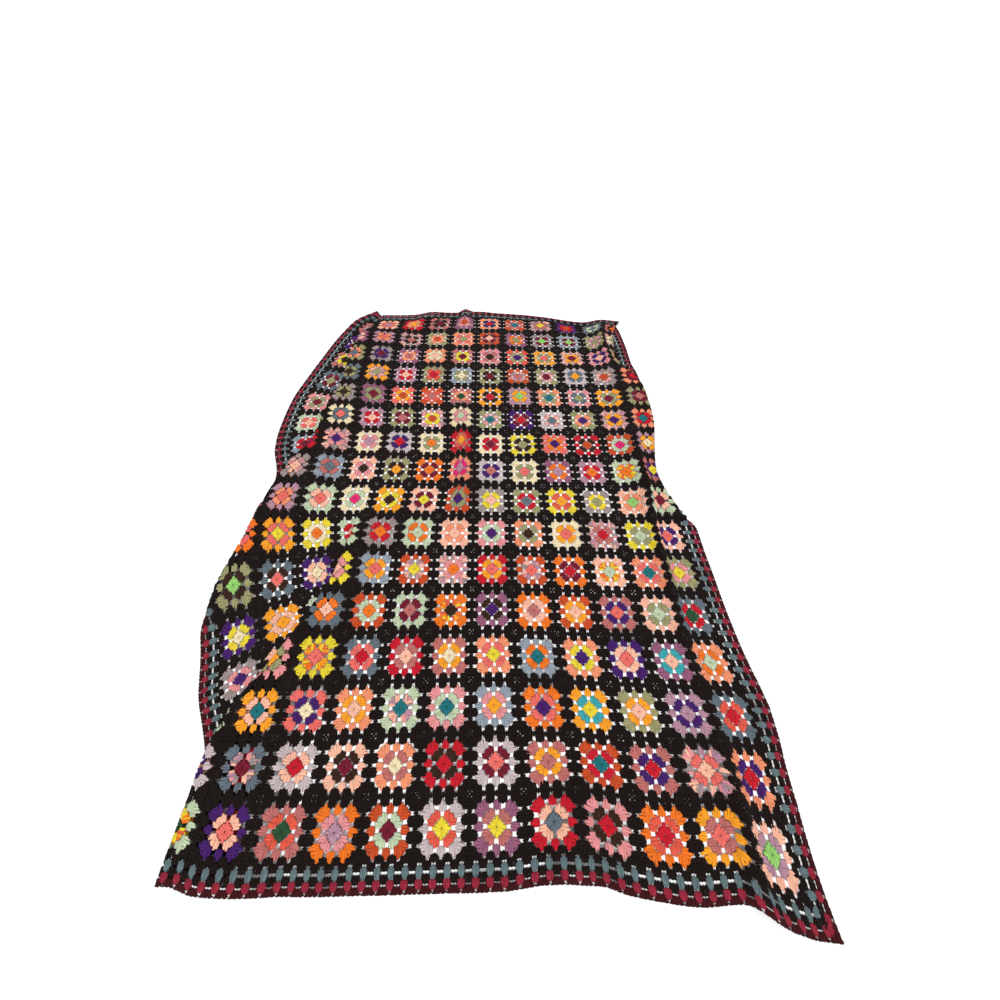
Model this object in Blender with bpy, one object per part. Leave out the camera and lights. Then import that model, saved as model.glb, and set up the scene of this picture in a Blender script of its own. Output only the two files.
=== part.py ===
"""Granny square blanket, lying loosely spread on a level surface.

Thirteen columns by sixteen rows of crocheted squares are joined into one sheet, and a border is
worked straight onto it, so the whole blanket is one piece of crochet.  It is drawn flat first, in
squares: u counts columns from the left and r counts rows from the head.  lay() then lays that
flat drawing down with its tucks, ridges and ripples.  Every row keeps its own length: it runs
from the middle column outwards, and where the blanket is tucked under it turns back on itself,
one layer below the other.

Frame: metres, +X across to the right, +Y along to the head, +Z up, origin on the surface under
the middle of the blanket's outline.
"""

from dataclasses import dataclass
from math import hypot, pi

import bmesh
import bpy
import numpy as np

# Driving sizes, in metres.
SQUARE = 0.100          # one crocheted square, joins included
SHEET = 0.0030          # thickness of the crochet
NUDGE = 0.010           # step in squares that gives the slope of the sheet
TINY = 1e-9             # keeps a division from failing

# Flat layout, in squares.
COLUMNS = 13
ROWS = 16
BORDER = 0.34           # width of the border
MIDDLE_COLUMN = 8.0     # rows are laid from here outwards
EDGE_LEFT, EDGE_RIGHT = 0.5 - BORDER, COLUMNS + 0.5 + BORDER
EDGE_HEAD, EDGE_FOOT = 0.5 - BORDER, ROWS + 0.5 + BORDER

# Open gap at the tip of the middle cluster of each square, as offsets from the square's middle.
GAP_HALF_WIDTH = 0.04
GAP_TOP, GAP_BOTTOM = -0.45, -0.35
LATTICE_ROW = 0.10      # third lattice line of each square, below its middle
MARGIN = 0.02           # lattice lines closer than this to an edge are left out
SNAP = 0.010            # a crease this close to a lattice point goes through it

# Lay of the middle column, in squares: place of row 12 and pitch of rows and columns.
MIDDLE_X, MIDDLE_Y = -0.247, 2.347
ROW_OF_MIDDLE = 12.0
ROW_PITCH = 1.01
COLUMN_PITCH = 0.985
HEAD_SHORTENING = 0.18  # the head edge rolls over slightly, from this row on
HEAD_SHORTENING_ROW = 1.2

# Layers, in squares.
LAYER = 0.070           # from one layer to the next in a tuck
FOLD = 0.055            # half the cloth taken by the round of a fold
PINNED = 0.30           # length of loose cloth over which an edge comes to its own place
EDGE_STEP = 0.40        # rows ahead and behind that give the run of the edge
RISE = 0.80             # length over which the top layer climbs onto a tuck
LEDGE = 0.20            # level part of the top layer past the tuck under it

# Middle of the outline in the layout's squares, which becomes the origin.
CENTRE_X, CENTRE_Y = -0.807, 5.567

# Left half.  Lengths are in squares and angles in degrees.
#   row        row coordinate of the station
#   tilt       slope of the row on the main field
#   tuck       column coordinate of the inner tuck's crease, on top
#   width      width of the layer turned back under that crease
#   back_tilt  slope of the layer turned back
#   side_tilt  slope of the row beyond the tuck
#   hem        column coordinate of the outer crease
#   edge_x, edge_y  place of the blanket's edge, which the outer crease is solved for
LEFT_COLUMNS = ("row", "tilt", "tuck", "width", "back_tilt", "side_tilt", "hem", "edge_x", "edge_y")
LEFT = (
    (0.16, -2.5, 4.30, 0.00, -3.0, -3.0, 3.60, -4.75, 14.33),
    (1.00, -2.5, 4.30, 0.00, -3.0, -3.0, 3.35, -5.50, 13.70),
    (2.00, -3.0, 4.30, 0.00, -3.0, -3.0, 3.00, -6.00, 12.65),
    (3.00, -3.0, 4.30, 0.00, -3.0, -3.0, 2.80, -6.30, 11.68),
    (4.00, -3.4, 4.30, 0.00, -3.4, -3.4, 2.80, -6.60, 10.62),
    (5.00, -3.4, 4.30, 0.00, -3.4, -3.4, 2.60, -6.87, 9.50),
    (6.00, -3.4, 4.30, 0.00, -3.4, -3.4, 2.42, -6.94, 8.46),
    (7.00, -3.4, 4.30, 0.00, -3.4, -3.4, 2.20, -6.84, 7.44),
    (8.00, -3.2, 4.30, 0.00, -3.0, -3.0, 1.65, -6.55, 6.45),
    (9.00, -2.5, 4.25, 0.00, -2.0, -2.0, 1.42, -6.48, 5.45),
    (10.00, -2.0, 4.17, 0.12, 0.0, 1.0, 1.08, -6.65, 4.42),
    (11.00, -1.5, 4.00, 0.25, 8.0, 9.0, 0.50, -6.97, 3.10),
    (12.00, -1.0, 3.55, 0.46, 15.0, 20.0, 0.16, -6.98, 1.75),
    (13.00, -0.5, 2.99, 0.61, 12.0, 24.0, 0.16, -6.60, 0.65),
    (14.00, 0.0, 2.33, 0.86, 0.0, 24.0, 0.16, -6.15, -0.10),
    (15.00, 0.0, 2.12, 1.05, 0.0, 23.0, 0.16, -5.70, -0.87),
    (16.84, 0.0, 1.98, 1.30, 4.0, 0.0, 0.16, -5.15, -2.60),
)

# Right half, in the same units: one crease, solved for the place of the edge.
RIGHT_COLUMNS = ("row", "tilt", "hem", "edge_x", "edge_y")
RIGHT = (
    (0.16, -8.5, 13.20, 4.35, 13.50),
    (1.00, -7.0, 13.05, 4.64, 12.75),
    (2.00, -5.5, 13.05, 4.72, 11.80),
    (3.00, -4.5, 12.85, 4.75, 10.95),
    (3.80, -3.5, 13.00, 4.86, 10.25),
    (4.50, -3.2, 13.26, 4.88, 9.65),
    (5.00, -3.0, 13.28, 4.72, 9.18),
    (6.00, -2.8, 13.36, 4.55, 8.20),
    (7.00, -2.5, 13.25, 4.38, 7.15),
    (8.00, -2.5, 13.14, 4.28, 6.10),
    (9.00, -2.5, 13.42, 4.65, 5.10),
    (10.00, -2.8, 13.84, 5.15, 4.10),
    (12.00, -3.0, 13.84, 5.35, 2.20),
    (14.00, -3.5, 13.84, 5.42, 0.20),
    (15.00, -3.5, 13.84, 5.45, -0.80),
    (16.84, -5.0, 13.84, 5.45, -2.70),
)

# Gather across the head's right end, in squares: rows draw together and stand up in a soft roll.
GATHER_START, GATHER_END = 9.3, 12.2    # column coordinates
GATHER_ROW = 1.80                       # last row coordinate that it reaches
GATHER_TAKEN = 0.42                     # length of cloth that it takes up
GATHER_HEIGHT = 0.03
GATHER_SUNK_FROM, GATHER_SUNK_BY = 12.3, 12.9   # columns over which the roll sinks to the hem

# Pinched ridges that stand up along a column, in squares.
#   column, first_row, last_row, height, half_width, taken_up
RIDGES = (
    (7.05, 5.0, 9.9, 0.20, 0.42, 0.16),
    (7.00, -0.6, 1.4, 0.15, 0.40, 0.10),
    (12.42, 0.6, 3.8, 0.21, 0.50, 0.40),
    (12.55, 5.0, 14.4, 0.20, 0.42, 0.30),
    (9.30, 15.3, 17.8, 0.20, 0.60, 0.05),
    (12.50, 13.8, 17.8, 0.20, 0.42, 0.20),
)

# Drift of both ends off the straight rows, in squares, by column.  It grows towards the edge.
#   head_along, foot_along  towards the head
#   foot_across             towards the right
HEAD_DRIFT_ROW = 2.9    # row coordinate that the head's drift starts from
FOOT_DRIFT_ROW = 13.8   # the same for the foot's drift along
FOOT_ACROSS_ROW, FOOT_ACROSS_FULL = 12.0, 16.0
DRIFT_COLUMNS = ("column", "head_along", "foot_along", "foot_across")
DRIFT = (
    (0.16, 0.00, 0.26, 0.00),
    (1.20, -0.10, 0.26, 0.00),
    (2.20, -0.38, 0.26, 0.00),
    (2.80, -0.42, 0.14, 0.00),
    (4.30, -0.42, 0.06, 0.00),
    (5.00, -0.38, 0.05, 0.00),
    (6.20, -0.08, 0.05, 0.00),
    (8.00, -0.08, 0.07, 0.04),
    (8.76, -0.08, 0.19, 0.10),
    (9.30, -0.08, 0.28, 0.13),
    (9.80, -0.08, 0.25, 0.15),
    (10.30, -0.08, 0.15, 0.17),
    (11.30, -0.05, 0.09, 0.22),
    (12.20, 0.00, 0.18, 0.24),
    (12.60, 0.00, 0.02, 0.29),
    (13.00, 0.00, -0.12, 0.28),
    (13.40, 0.00, -0.17, 0.20),
    (13.84, 0.00, -0.17, 0.12),
)

# Low swells over the whole field, in squares.
SWELL_HEIGHT = 0.06
SWELL_ACROSS, SWELL_ALONG = 3.3, 4.4
SWELL_SKEW = 0.11
SWELL_PHASE = 1.0       # shifts the swells along the rows, in radians
SWELL_FULLNESS = 0.9    # below 1, so that no swell is quite flat on top

# Colour as linear RGB, and roughness.
YARN_BLACK = (0.012, 0.008, 0.010, 1.0)
YARN_ROUGHNESS = 0.95


def smooth(x):
    """Ease from 0 to 1 as x goes from 0 to 1."""
    x = np.clip(x, 0.0, 1.0)
    return x * x * (3.0 - 2.0 * x)


def turned_in(x):
    """Length past a fold, eased over the round of the fold."""
    rounded = (np.clip(x, -FOLD, FOLD) + FOLD) ** 2 / (4.0 * FOLD)
    return np.where(x > FOLD, x, rounded)


def layer_step(x):
    """Share of one layer gone down at length x past a fold."""
    return smooth((x + FOLD) / (2.0 * FOLD))


def station(table, names, name, row):
    """Value of one named column of a table at any place, without overshoot between stations."""
    values = np.array(table, dtype=float)
    xs, ys = values[:, 0], values[:, names.index(name)]
    run = np.diff(xs)
    slope = np.diff(ys) / run
    tangent = np.empty_like(xs)
    tangent[0], tangent[-1] = slope[0], slope[-1]
    product = slope[:-1] * slope[1:]
    total = slope[:-1] + slope[1:]
    safe_total = np.where(np.abs(total) < TINY, 1.0, total)
    tangent[1:-1] = np.where(product > 0.0, 2.0 * product / safe_total, 0.0)
    i = np.clip(np.searchsorted(xs, row, side="right") - 1, 0, len(xs) - 2)
    t = np.clip((row - xs[i]) / run[i], 0.0, 1.0)
    return (
        ys[i] * (1.0 + 2.0 * t) * (1.0 - t) ** 2
        + tangent[i] * run[i] * t * (1.0 - t) ** 2
        + ys[i + 1] * t * t * (3.0 - 2.0 * t)
        - tangent[i + 1] * run[i] * t * t * (1.0 - t)
    )


def heading(degrees):
    """Unit vectors in plan for an array of slopes."""
    angle = np.radians(degrees)
    return np.stack([np.cos(angle), np.sin(angle)], axis=-1)


def scaled(factor, vectors):
    """Vectors multiplied one by one by an array of factors."""
    return np.asarray(factor)[..., None] * vectors


def dot(a, b):
    """Dot products of two arrays of vectors."""
    return (a * b).sum(axis=-1)


def unit(vectors):
    """Vectors brought to unit length."""
    return vectors / np.maximum(np.linalg.norm(vectors, axis=-1), TINY)[..., None]


def ridge_lift(u, row):
    """Height of the pinched ridges, and the cloth they take up on the way from the middle."""
    lift = np.zeros_like(u)
    taken = np.zeros_like(u)
    for column, first, last, height, half_width, take in RIDGES:
        along = np.clip((2.0 * row - first - last) / (last - first), -1.0, 1.0)
        strength = np.sqrt(0.5 + 0.5 * np.cos(pi * along))
        across = np.clip((u - column) / half_width, -1.0, 1.0)
        lift += height * strength * (0.5 + 0.5 * np.cos(pi * across))
        outward = np.sign(column - MIDDLE_COLUMN)
        taken += take * strength * smooth(0.5 + 0.5 * outward * (u - column) / half_width)
    return lift, taken


def swell(u, row):
    """Height of the low swells: mostly nothing, with soft rises here and there."""
    across = np.sin(2.0 * pi * (u / SWELL_ACROSS + SWELL_SKEW * row))
    along = np.sin(2.0 * pi * (row / SWELL_ALONG - SWELL_SKEW * u) + SWELL_PHASE)
    return SWELL_HEIGHT * smooth(SWELL_FULLNESS * across * along)


def head_gather(u, row):
    """Row that a point comes to lie at, and its height, by the gather across the head's right."""
    share = smooth((u - GATHER_START) / (GATHER_END - GATHER_START))
    sunk = smooth((u - GATHER_SUNK_FROM) / (GATHER_SUNK_BY - GATHER_SUNK_FROM))
    progress = (GATHER_ROW - row) / (GATHER_ROW - EDGE_HEAD)
    roll = np.sin(pi * np.clip(progress, 0.0, 1.0)) ** 2
    height = GATHER_HEIGHT * share * (1.0 - sunk) * roll
    return row + GATHER_TAKEN * share * smooth(progress), height


def end_drift(u, row):
    """How far, across and along, a point has drifted off its straight row at the head and foot."""
    head = smooth((HEAD_DRIFT_ROW - row) / (HEAD_DRIFT_ROW - EDGE_HEAD))
    foot = smooth((row - FOOT_DRIFT_ROW) / (EDGE_FOOT - FOOT_DRIFT_ROW))
    foot_across = smooth((row - FOOT_ACROSS_ROW) / (FOOT_ACROSS_FULL - FOOT_ACROSS_ROW))
    along = head * station(DRIFT, DRIFT_COLUMNS, "head_along", u)
    along = along + foot * station(DRIFT, DRIFT_COLUMNS, "foot_along", u)
    return foot_across * station(DRIFT, DRIFT_COLUMNS, "foot_across", u), along


@dataclass
class RowPlan:
    """How rows run in plan on one side of the middle column: start, folds and directions."""

    start: np.ndarray       # place of the row on the middle column, cloth taken by ridges left off
    out: np.ndarray         # direction on the main field
    tuck: np.ndarray        # length to the inner tuck's crease
    width: np.ndarray       # width of the layer turned back there
    back: np.ndarray        # direction of that layer
    beyond: np.ndarray      # direction past the tuck
    tuck_share: np.ndarray  # 0 for no tuck to 1 for a full one
    hem: np.ndarray         # length to the outer crease
    inner: np.ndarray       # width of the layer turned back there
    hem_back: np.ndarray    # direction of that layer
    last: np.ndarray        # direction of the last layer, out to the edge
    hem_share: np.ndarray   # 0 for no fold to 1 for a full one
    total: float            # length to the blanket's edge


def plan_rows(row, side):
    """Work out how rows run; side is -1 for the left half and +1 for the right half.

    The outer crease and the edge's own place fix how much is turned back between them, since the
    layers in between must add up to the length of row that is left.
    """
    if side < 0:
        table, names, edge = LEFT, LEFT_COLUMNS, EDGE_LEFT
    else:
        table, names, edge = RIGHT, RIGHT_COLUMNS, EDGE_RIGHT

    def column(name, at=row):
        return station(table, names, name, at)

    taken = ridge_lift(np.full_like(row, edge), row)[1]
    shortened = HEAD_SHORTENING * smooth((HEAD_SHORTENING_ROW - row) / HEAD_SHORTENING_ROW)
    middle_y = MIDDLE_Y + ROW_PITCH * (ROW_OF_MIDDLE - row) - shortened
    start = np.stack([np.full_like(row, MIDDLE_X), middle_y], axis=-1)
    out = side * COLUMN_PITCH * heading(column("tilt"))
    if side < 0:
        tuck = MIDDLE_COLUMN - column("tuck")
        width = column("width")
        back = heading(column("back_tilt"))
        beyond = -COLUMN_PITCH * heading(column("side_tilt"))
    else:
        tuck, width, back, beyond = np.zeros_like(row), np.zeros_like(row), out, out
    total = abs(edge - MIDDLE_COLUMN)
    hem = side * (column("hem") - MIDDLE_COLUMN)
    free = np.maximum(total - hem, TINY)
    crease = start + scaled(tuck - taken, out) + scaled(width, back)
    crease = crease + scaled(hem - tuck - width, beyond)
    if side > 0:
        crease = start + scaled(hem - taken, out)
    pinned = smooth(free / PINNED)
    path_end = crease + scaled(free, beyond)
    target = np.stack([column("edge_x"), column("edge_y")], axis=-1)
    end = path_end + scaled(pinned, target - path_end)
    ahead = np.stack([column(name, row + EDGE_STEP) for name in ("edge_x", "edge_y")], axis=-1)
    behind = np.stack([column(name, row - EDGE_STEP) for name in ("edge_x", "edge_y")], axis=-1)
    across = side * np.stack([behind[..., 1] - ahead[..., 1], ahead[..., 0] - behind[..., 0]], axis=-1)
    last = unit(scaled(pinned, unit(across)) + scaled(1.0 - pinned, unit(beyond)))
    gap = crease - end
    slack = np.maximum(free + dot(gap, last), TINY)
    outer = np.clip((free ** 2 - dot(gap, gap)) / (2.0 * slack), 0.0, free)
    inner = np.maximum(free - outer, TINY)
    hem_back = scaled(1.0 / inner, end - scaled(outer, last) - crease)
    turn = 0.5 - 0.5 * dot(unit(hem_back), unit(beyond))
    return RowPlan(
        start=start, out=out, tuck=tuck, width=width, back=back, beyond=beyond,
        tuck_share=smooth(width / (2.0 * FOLD)), hem=hem, inner=inner, hem_back=hem_back, last=last,
        hem_share=turn * smooth(inner / (2.0 * FOLD)), total=total,
    )


def lay_half(u, row, side):
    """Plan place and height, in squares, of points on one side of the middle column."""
    plan = plan_rows(row, side)
    lift, taken = ridge_lift(u, row)
    s = side * (u - MIDDLE_COLUMN)
    place = plan.start + scaled(s - taken, plan.out)
    place = place + scaled(turned_in(s - plan.tuck), plan.back - plan.out)
    place = place + scaled(turned_in(s - plan.tuck - plan.width), plan.beyond - plan.back)
    place = place + scaled(turned_in(s - plan.hem), plan.hem_back - plan.beyond)
    place = place + scaled(turned_in(s - plan.hem - plan.inner), plan.last - plan.hem_back)
    height = np.zeros_like(row)
    hidden = np.zeros_like(row)
    folds = ((plan.tuck, plan.width, plan.tuck_share), (plan.hem, plan.inner, plan.hem_share))
    for crease, width, share in folds:
        down = layer_step(s - crease) + layer_step(s - crease - width)
        down_at_edge = layer_step(plan.total - crease) + layer_step(plan.total - crease - width)
        climb = smooth(1.0 + (s - crease + width + LEDGE) / RISE)
        height = height + LAYER * share * (down_at_edge * climb - down)
        hidden = hidden + share * (layer_step(s - crease) - layer_step(s - crease - 2.0 * width))
    shown = np.clip(1.0 - hidden, 0.0, 1.0)
    return place[..., 0], place[..., 1], height + shown * (lift + swell(u, row))


def lay(u, row):
    """Places, in metres, of points of the flat blanket once it lies spread on the surface."""
    laid_row, rolled = head_gather(u, row)
    left = lay_half(u, laid_row, -1)
    right = lay_half(u, laid_row, 1)
    x, y, z = (np.where(u < MIDDLE_COLUMN, a, b) for a, b in zip(left, right))
    across, along = end_drift(u, row)
    x, y = x + across - CENTRE_X, y + along - CENTRE_Y
    return np.stack([x, y, z + rolled], axis=-1) * SQUARE


def lattice(first, last, count, offsets):
    """Lattice lines from first to last: the offsets from each square's middle that lie between."""
    lines = [i + offset for i in range(count + 1) for offset in offsets]
    return [first] + [x for x in lines if first + MARGIN < x < last - MARGIN] + [last]


def is_gap(u, row):
    """True in the middle of the open gap at the tip of a square's middle cluster."""
    from_middle = row - round(row)
    return abs(u - round(u)) < GAP_HALF_WIDTH and GAP_TOP < from_middle < GAP_BOTTOM


def add_flat_sheet(sheet, us, rows):
    """Add the flat lattice to a bmesh, as (u, -row, 0), leaving out the open gaps."""
    grid = [[sheet.verts.new((u, -row, 0.0)) for u in us] for row in rows]
    for j in range(len(rows) - 1):
        for i in range(len(us) - 1):
            if is_gap(0.5 * (us[i] + us[i + 1]), 0.5 * (rows[j] + rows[j + 1])):
                continue
            sheet.faces.new((grid[j + 1][i], grid[j + 1][i + 1], grid[j][i + 1], grid[j][i]))
    loose = [vert for vert in sheet.verts if not vert.link_faces]
    bmesh.ops.delete(sheet, geom=loose, context="VERTS")


def cut_segment(sheet, start, end):
    """Split the faces between two lattice rows along a straight segment in (u, -row)."""
    band = [face for face in sheet.faces if end[1] < face.calc_center_median().y < start[1]]
    edges = {edge for face in band for edge in face.edges}
    verts = {vert for face in band for vert in face.verts}
    run = (end[0] - start[0], end[1] - start[1])
    length = hypot(*run)
    bmesh.ops.bisect_plane(
        sheet, geom=[*verts, *edges, *band], dist=SNAP,
        plane_co=(start[0], start[1], 0.0), plane_no=(-run[1] / length, run[0] / length, 0.0),
    )


def fold_lines(rows, side):
    """Length out to each fold's start, middle and end at every lattice row, and the fold's width."""
    plan = plan_rows(rows, side)
    for crease, width in ((plan.tuck, plan.width), (plan.hem, plan.inner)):
        for offset in (-FOLD, 0.0, FOLD):
            yield crease + offset, width
            yield crease + width + offset, width


def cut_creases(sheet, rows):
    """Cut the flat lattice along every fold, so that the folds turn where they really are."""
    rows = np.array(rows)
    for side in (-1, 1):
        for line, width in fold_lines(rows, side):
            places = MIDDLE_COLUMN + side * line
            for j in range(len(rows) - 1):
                if max(width[j], width[j + 1]) > FOLD:
                    cut_segment(sheet, (places[j], -rows[j]), (places[j + 1], -rows[j + 1]))


def laid_solid(name, columns, rows, material):
    """Build the blanket as one closed sheet that follows its tucks and ridges."""
    sheet = bmesh.new()
    add_flat_sheet(sheet, columns, rows)
    cut_creases(sheet, rows)
    bmesh.ops.triangulate(sheet, faces=sheet.faces[:])
    sheet.verts.index_update()
    flat = np.array([vert.co[:2] for vert in sheet.verts], dtype=float)
    triangles = np.array([[vert.index for vert in face.verts] for face in sheet.faces])
    rim = [
        [edge.link_loops[0].vert.index, edge.link_loops[0].link_loop_next.vert.index]
        for edge in sheet.edges if edge.is_boundary
    ]
    sheet.free()
    u, row = flat[:, 0], -flat[:, 1]
    middle = lay(u, row)
    across = lay(u + NUDGE, row) - lay(u - NUDGE, row)
    along = lay(u, row - NUDGE) - lay(u, row + NUDGE)
    half = 0.5 * SHEET * unit(np.cross(across, along))
    middle[:, 2] += 0.5 * SHEET
    count = len(middle)
    top = triangles.tolist()
    under = [[a + count, c + count, b + count] for a, b, c in top]
    walls = [[b, a, a + count] for a, b in rim] + [[b, a + count, b + count] for a, b in rim]
    mesh = bpy.data.meshes.new(name)
    mesh.from_pydata(np.concatenate([middle + half, middle - half]).tolist(), [], top + under + walls)
    mesh.materials.append(material)
    mesh.shade_smooth()
    bpy.context.collection.objects.link(bpy.data.objects.new(name, mesh))


def yarn(name, colour):
    """Plain matt yarn."""
    material = bpy.data.materials.new(name)
    material.use_nodes = True
    shader = material.node_tree.nodes["Principled BSDF"]
    shader.inputs["Base Color"].default_value = colour
    shader.inputs["Roughness"].default_value = YARN_ROUGHNESS
    shader.inputs["Metallic"].default_value = 0.0
    return material


def clear_scene():
    """Remove whatever the scene holds."""
    for thing in list(bpy.data.objects):
        bpy.data.objects.remove(thing, do_unlink=True)


def build_blanket():
    """Build the whole blanket, field and border, as one solid."""
    columns = lattice(EDGE_LEFT, EDGE_RIGHT, COLUMNS, (-GAP_HALF_WIDTH, GAP_HALF_WIDTH, 0.5))
    rows = lattice(EDGE_HEAD, EDGE_FOOT, ROWS, (GAP_TOP, GAP_BOTTOM, LATTICE_ROW))
    laid_solid("blanket", columns, rows, yarn("yarn", YARN_BLACK))


clear_scene()
build_blanket()
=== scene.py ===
"""Granny square blanket, worked stitch by stitch and then laid loosely spread on the floor.

Thirteen columns by sixteen rows of squares are worked from the middle outwards in four rounds, the
last one black, and five rounds of border run right round them.  Every stitch is first placed on the
flat blanket, in squares: u counts columns from the left and row counts rows from the head.
Geometry Nodes put a strand of yarn on each place, and LaidSheet then lays the flat crochet down
with its tucks, ridges and ripples.

Frame: metres, +X across to the right, +Y along to the head, +Z up, origin on the floor under the
middle of the blanket's outline.
"""

from __future__ import annotations

import logging
from dataclasses import dataclass, field
from enum import Enum
from math import atan2, cos, hypot, pi, radians, sin
from typing import Iterable, Sequence

import bpy
import numpy as np
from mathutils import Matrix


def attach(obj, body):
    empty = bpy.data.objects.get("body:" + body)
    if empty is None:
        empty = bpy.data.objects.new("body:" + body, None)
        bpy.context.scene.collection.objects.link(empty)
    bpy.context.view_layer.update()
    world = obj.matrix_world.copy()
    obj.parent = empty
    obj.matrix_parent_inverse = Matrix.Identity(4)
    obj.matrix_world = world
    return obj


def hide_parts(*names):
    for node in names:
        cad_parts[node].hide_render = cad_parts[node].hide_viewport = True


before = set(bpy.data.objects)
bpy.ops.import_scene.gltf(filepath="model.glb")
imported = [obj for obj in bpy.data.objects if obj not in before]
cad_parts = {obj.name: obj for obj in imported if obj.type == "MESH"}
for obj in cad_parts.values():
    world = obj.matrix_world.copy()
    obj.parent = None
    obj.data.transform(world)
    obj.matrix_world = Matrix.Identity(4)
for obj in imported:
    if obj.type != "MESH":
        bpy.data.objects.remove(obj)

LOG = logging.getLogger("blanket")

NODE = "blanket"        # the solid that the crochet stands for
BODY = "root"

SQUARE = 0.100          # one square of the blanket, in metres
COLUMNS, ROWS = 13, 16
ROWS_A_BAND = 2         # rows of squares in one piece
SIDES = 4               # sides of a square and of the blanket
YARN_DEPTH = 0.84       # share of a dye's light that comes back out of the yarn
DYE_SEED = 5            # seed of the choice of dyes
TONE_SEED = 41          # seed of the small differences that come with working by hand
TINY = 1e-9

# The curve between a dye's levels and linear light.
TOP_LEVEL = 255.0
CURVE_START = 0.04045
CURVE_SLOPE = 12.92
CURVE_OFFSET = 0.055
CURVE_POWER = 2.4


def smooth(x: np.ndarray) -> np.ndarray:
    """Ease from 0 to 1 as x goes from 0 to 1."""
    x = np.clip(x, 0.0, 1.0)
    return x * x * (3.0 - 2.0 * x)


def heading(degrees: np.ndarray) -> np.ndarray:
    """Return unit vectors in plan for an array of slopes."""
    angle = np.radians(degrees)
    return np.stack([np.cos(angle), np.sin(angle)], axis=-1)


def scaled(factor: np.ndarray, vectors: np.ndarray) -> np.ndarray:
    """Multiply vectors one by one by an array of factors."""
    return np.asarray(factor)[..., None] * vectors


def dot(a: np.ndarray, b: np.ndarray) -> np.ndarray:
    """Return the dot products of two arrays of vectors."""
    return (a * b).sum(axis=-1)


def unit(vectors: np.ndarray) -> np.ndarray:
    """Bring vectors to unit length."""
    return vectors / np.maximum(np.linalg.norm(vectors, axis=-1), TINY)[..., None]


def linear(level: float) -> float:
    """Turn a level from 0 to 255, as a dyer's card gives it, to linear light.

    Args:
        level: The level.

    Returns:
        The light, from 0 to 1.
    """
    share = level / TOP_LEVEL
    if share < CURVE_START:
        return share / CURVE_SLOPE
    return ((share + CURVE_OFFSET) / (1.0 + CURVE_OFFSET)) ** CURVE_POWER


# ---------------------------------------------------------------- how the blanket lies


@dataclass(frozen=True)
class StationTable:
    """Values given at stations along the blanket, joined smoothly and without overshoot.

    Attributes:
        names: Name of each column; the first is the coordinate of the stations.
        values: One line for each station.
    """

    names: tuple[str, ...]
    values: tuple[tuple[float, ...], ...]

    def at(self, name: str, row: np.ndarray) -> np.ndarray:
        """Read one column at any row coordinates.

        Args:
            name: The column.
            row: Row coordinates.

        Returns:
            The column's value at each of them.
        """
        values = np.array(self.values, dtype=float)
        xs, ys = values[:, 0], values[:, self.names.index(name)]
        run = np.diff(xs)
        slope = np.diff(ys) / run
        tangent = np.empty_like(xs)
        tangent[0], tangent[-1] = slope[0], slope[-1]
        product = slope[:-1] * slope[1:]
        total = slope[:-1] + slope[1:]
        safe_total = np.where(np.abs(total) < TINY, 1.0, total)
        tangent[1:-1] = np.where(product > 0.0, 2.0 * product / safe_total, 0.0)
        i = np.clip(np.searchsorted(xs, row, side="right") - 1, 0, len(xs) - 2)
        t = np.clip((row - xs[i]) / run[i], 0.0, 1.0)
        return (
            ys[i] * (1.0 + 2.0 * t) * (1.0 - t) ** 2
            + tangent[i] * run[i] * t * (1.0 - t) ** 2
            + ys[i + 1] * t * t * (3.0 - 2.0 * t)
            - tangent[i + 1] * run[i] * t * t * (1.0 - t)
        )


# Left half.  Lengths are in squares and angles in degrees: slope of the row, column of the inner
# tuck's crease, width and slope of the layer turned back there, slope beyond it, column of the
# outer crease, and place of the blanket's edge.
LEFT = StationTable(
    ("row", "tilt", "tuck", "width", "back_tilt", "side_tilt", "hem", "edge_x", "edge_y"),
    (
        (0.16, -2.5, 4.30, 0.00, -3.0, -3.0, 3.60, -4.75, 14.33),
        (1.00, -2.5, 4.30, 0.00, -3.0, -3.0, 3.35, -5.50, 13.70),
        (2.00, -3.0, 4.30, 0.00, -3.0, -3.0, 3.00, -6.00, 12.65),
        (3.00, -3.0, 4.30, 0.00, -3.0, -3.0, 2.80, -6.30, 11.68),
        (4.00, -3.4, 4.30, 0.00, -3.4, -3.4, 2.80, -6.60, 10.62),
        (5.00, -3.4, 4.30, 0.00, -3.4, -3.4, 2.60, -6.87, 9.50),
        (6.00, -3.4, 4.30, 0.00, -3.4, -3.4, 2.42, -6.94, 8.46),
        (7.00, -3.4, 4.30, 0.00, -3.4, -3.4, 2.20, -6.84, 7.44),
        (8.00, -3.2, 4.30, 0.00, -3.0, -3.0, 1.65, -6.55, 6.45),
        (9.00, -2.5, 4.25, 0.00, -2.0, -2.0, 1.42, -6.48, 5.45),
        (10.00, -2.0, 4.17, 0.12, 0.0, 1.0, 1.08, -6.65, 4.42),
        (11.00, -1.5, 4.00, 0.25, 8.0, 9.0, 0.50, -6.97, 3.10),
        (12.00, -1.0, 3.55, 0.46, 15.0, 20.0, 0.16, -6.98, 1.75),
        (13.00, -0.5, 2.99, 0.61, 12.0, 24.0, 0.16, -6.60, 0.65),
        (14.00, 0.0, 2.33, 0.86, 0.0, 24.0, 0.16, -6.15, -0.10),
        (15.00, 0.0, 2.12, 1.05, 0.0, 23.0, 0.16, -5.70, -0.87),
        (16.84, 0.0, 1.98, 1.30, 4.0, 0.0, 0.16, -5.15, -2.60),
    ),
)

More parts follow.
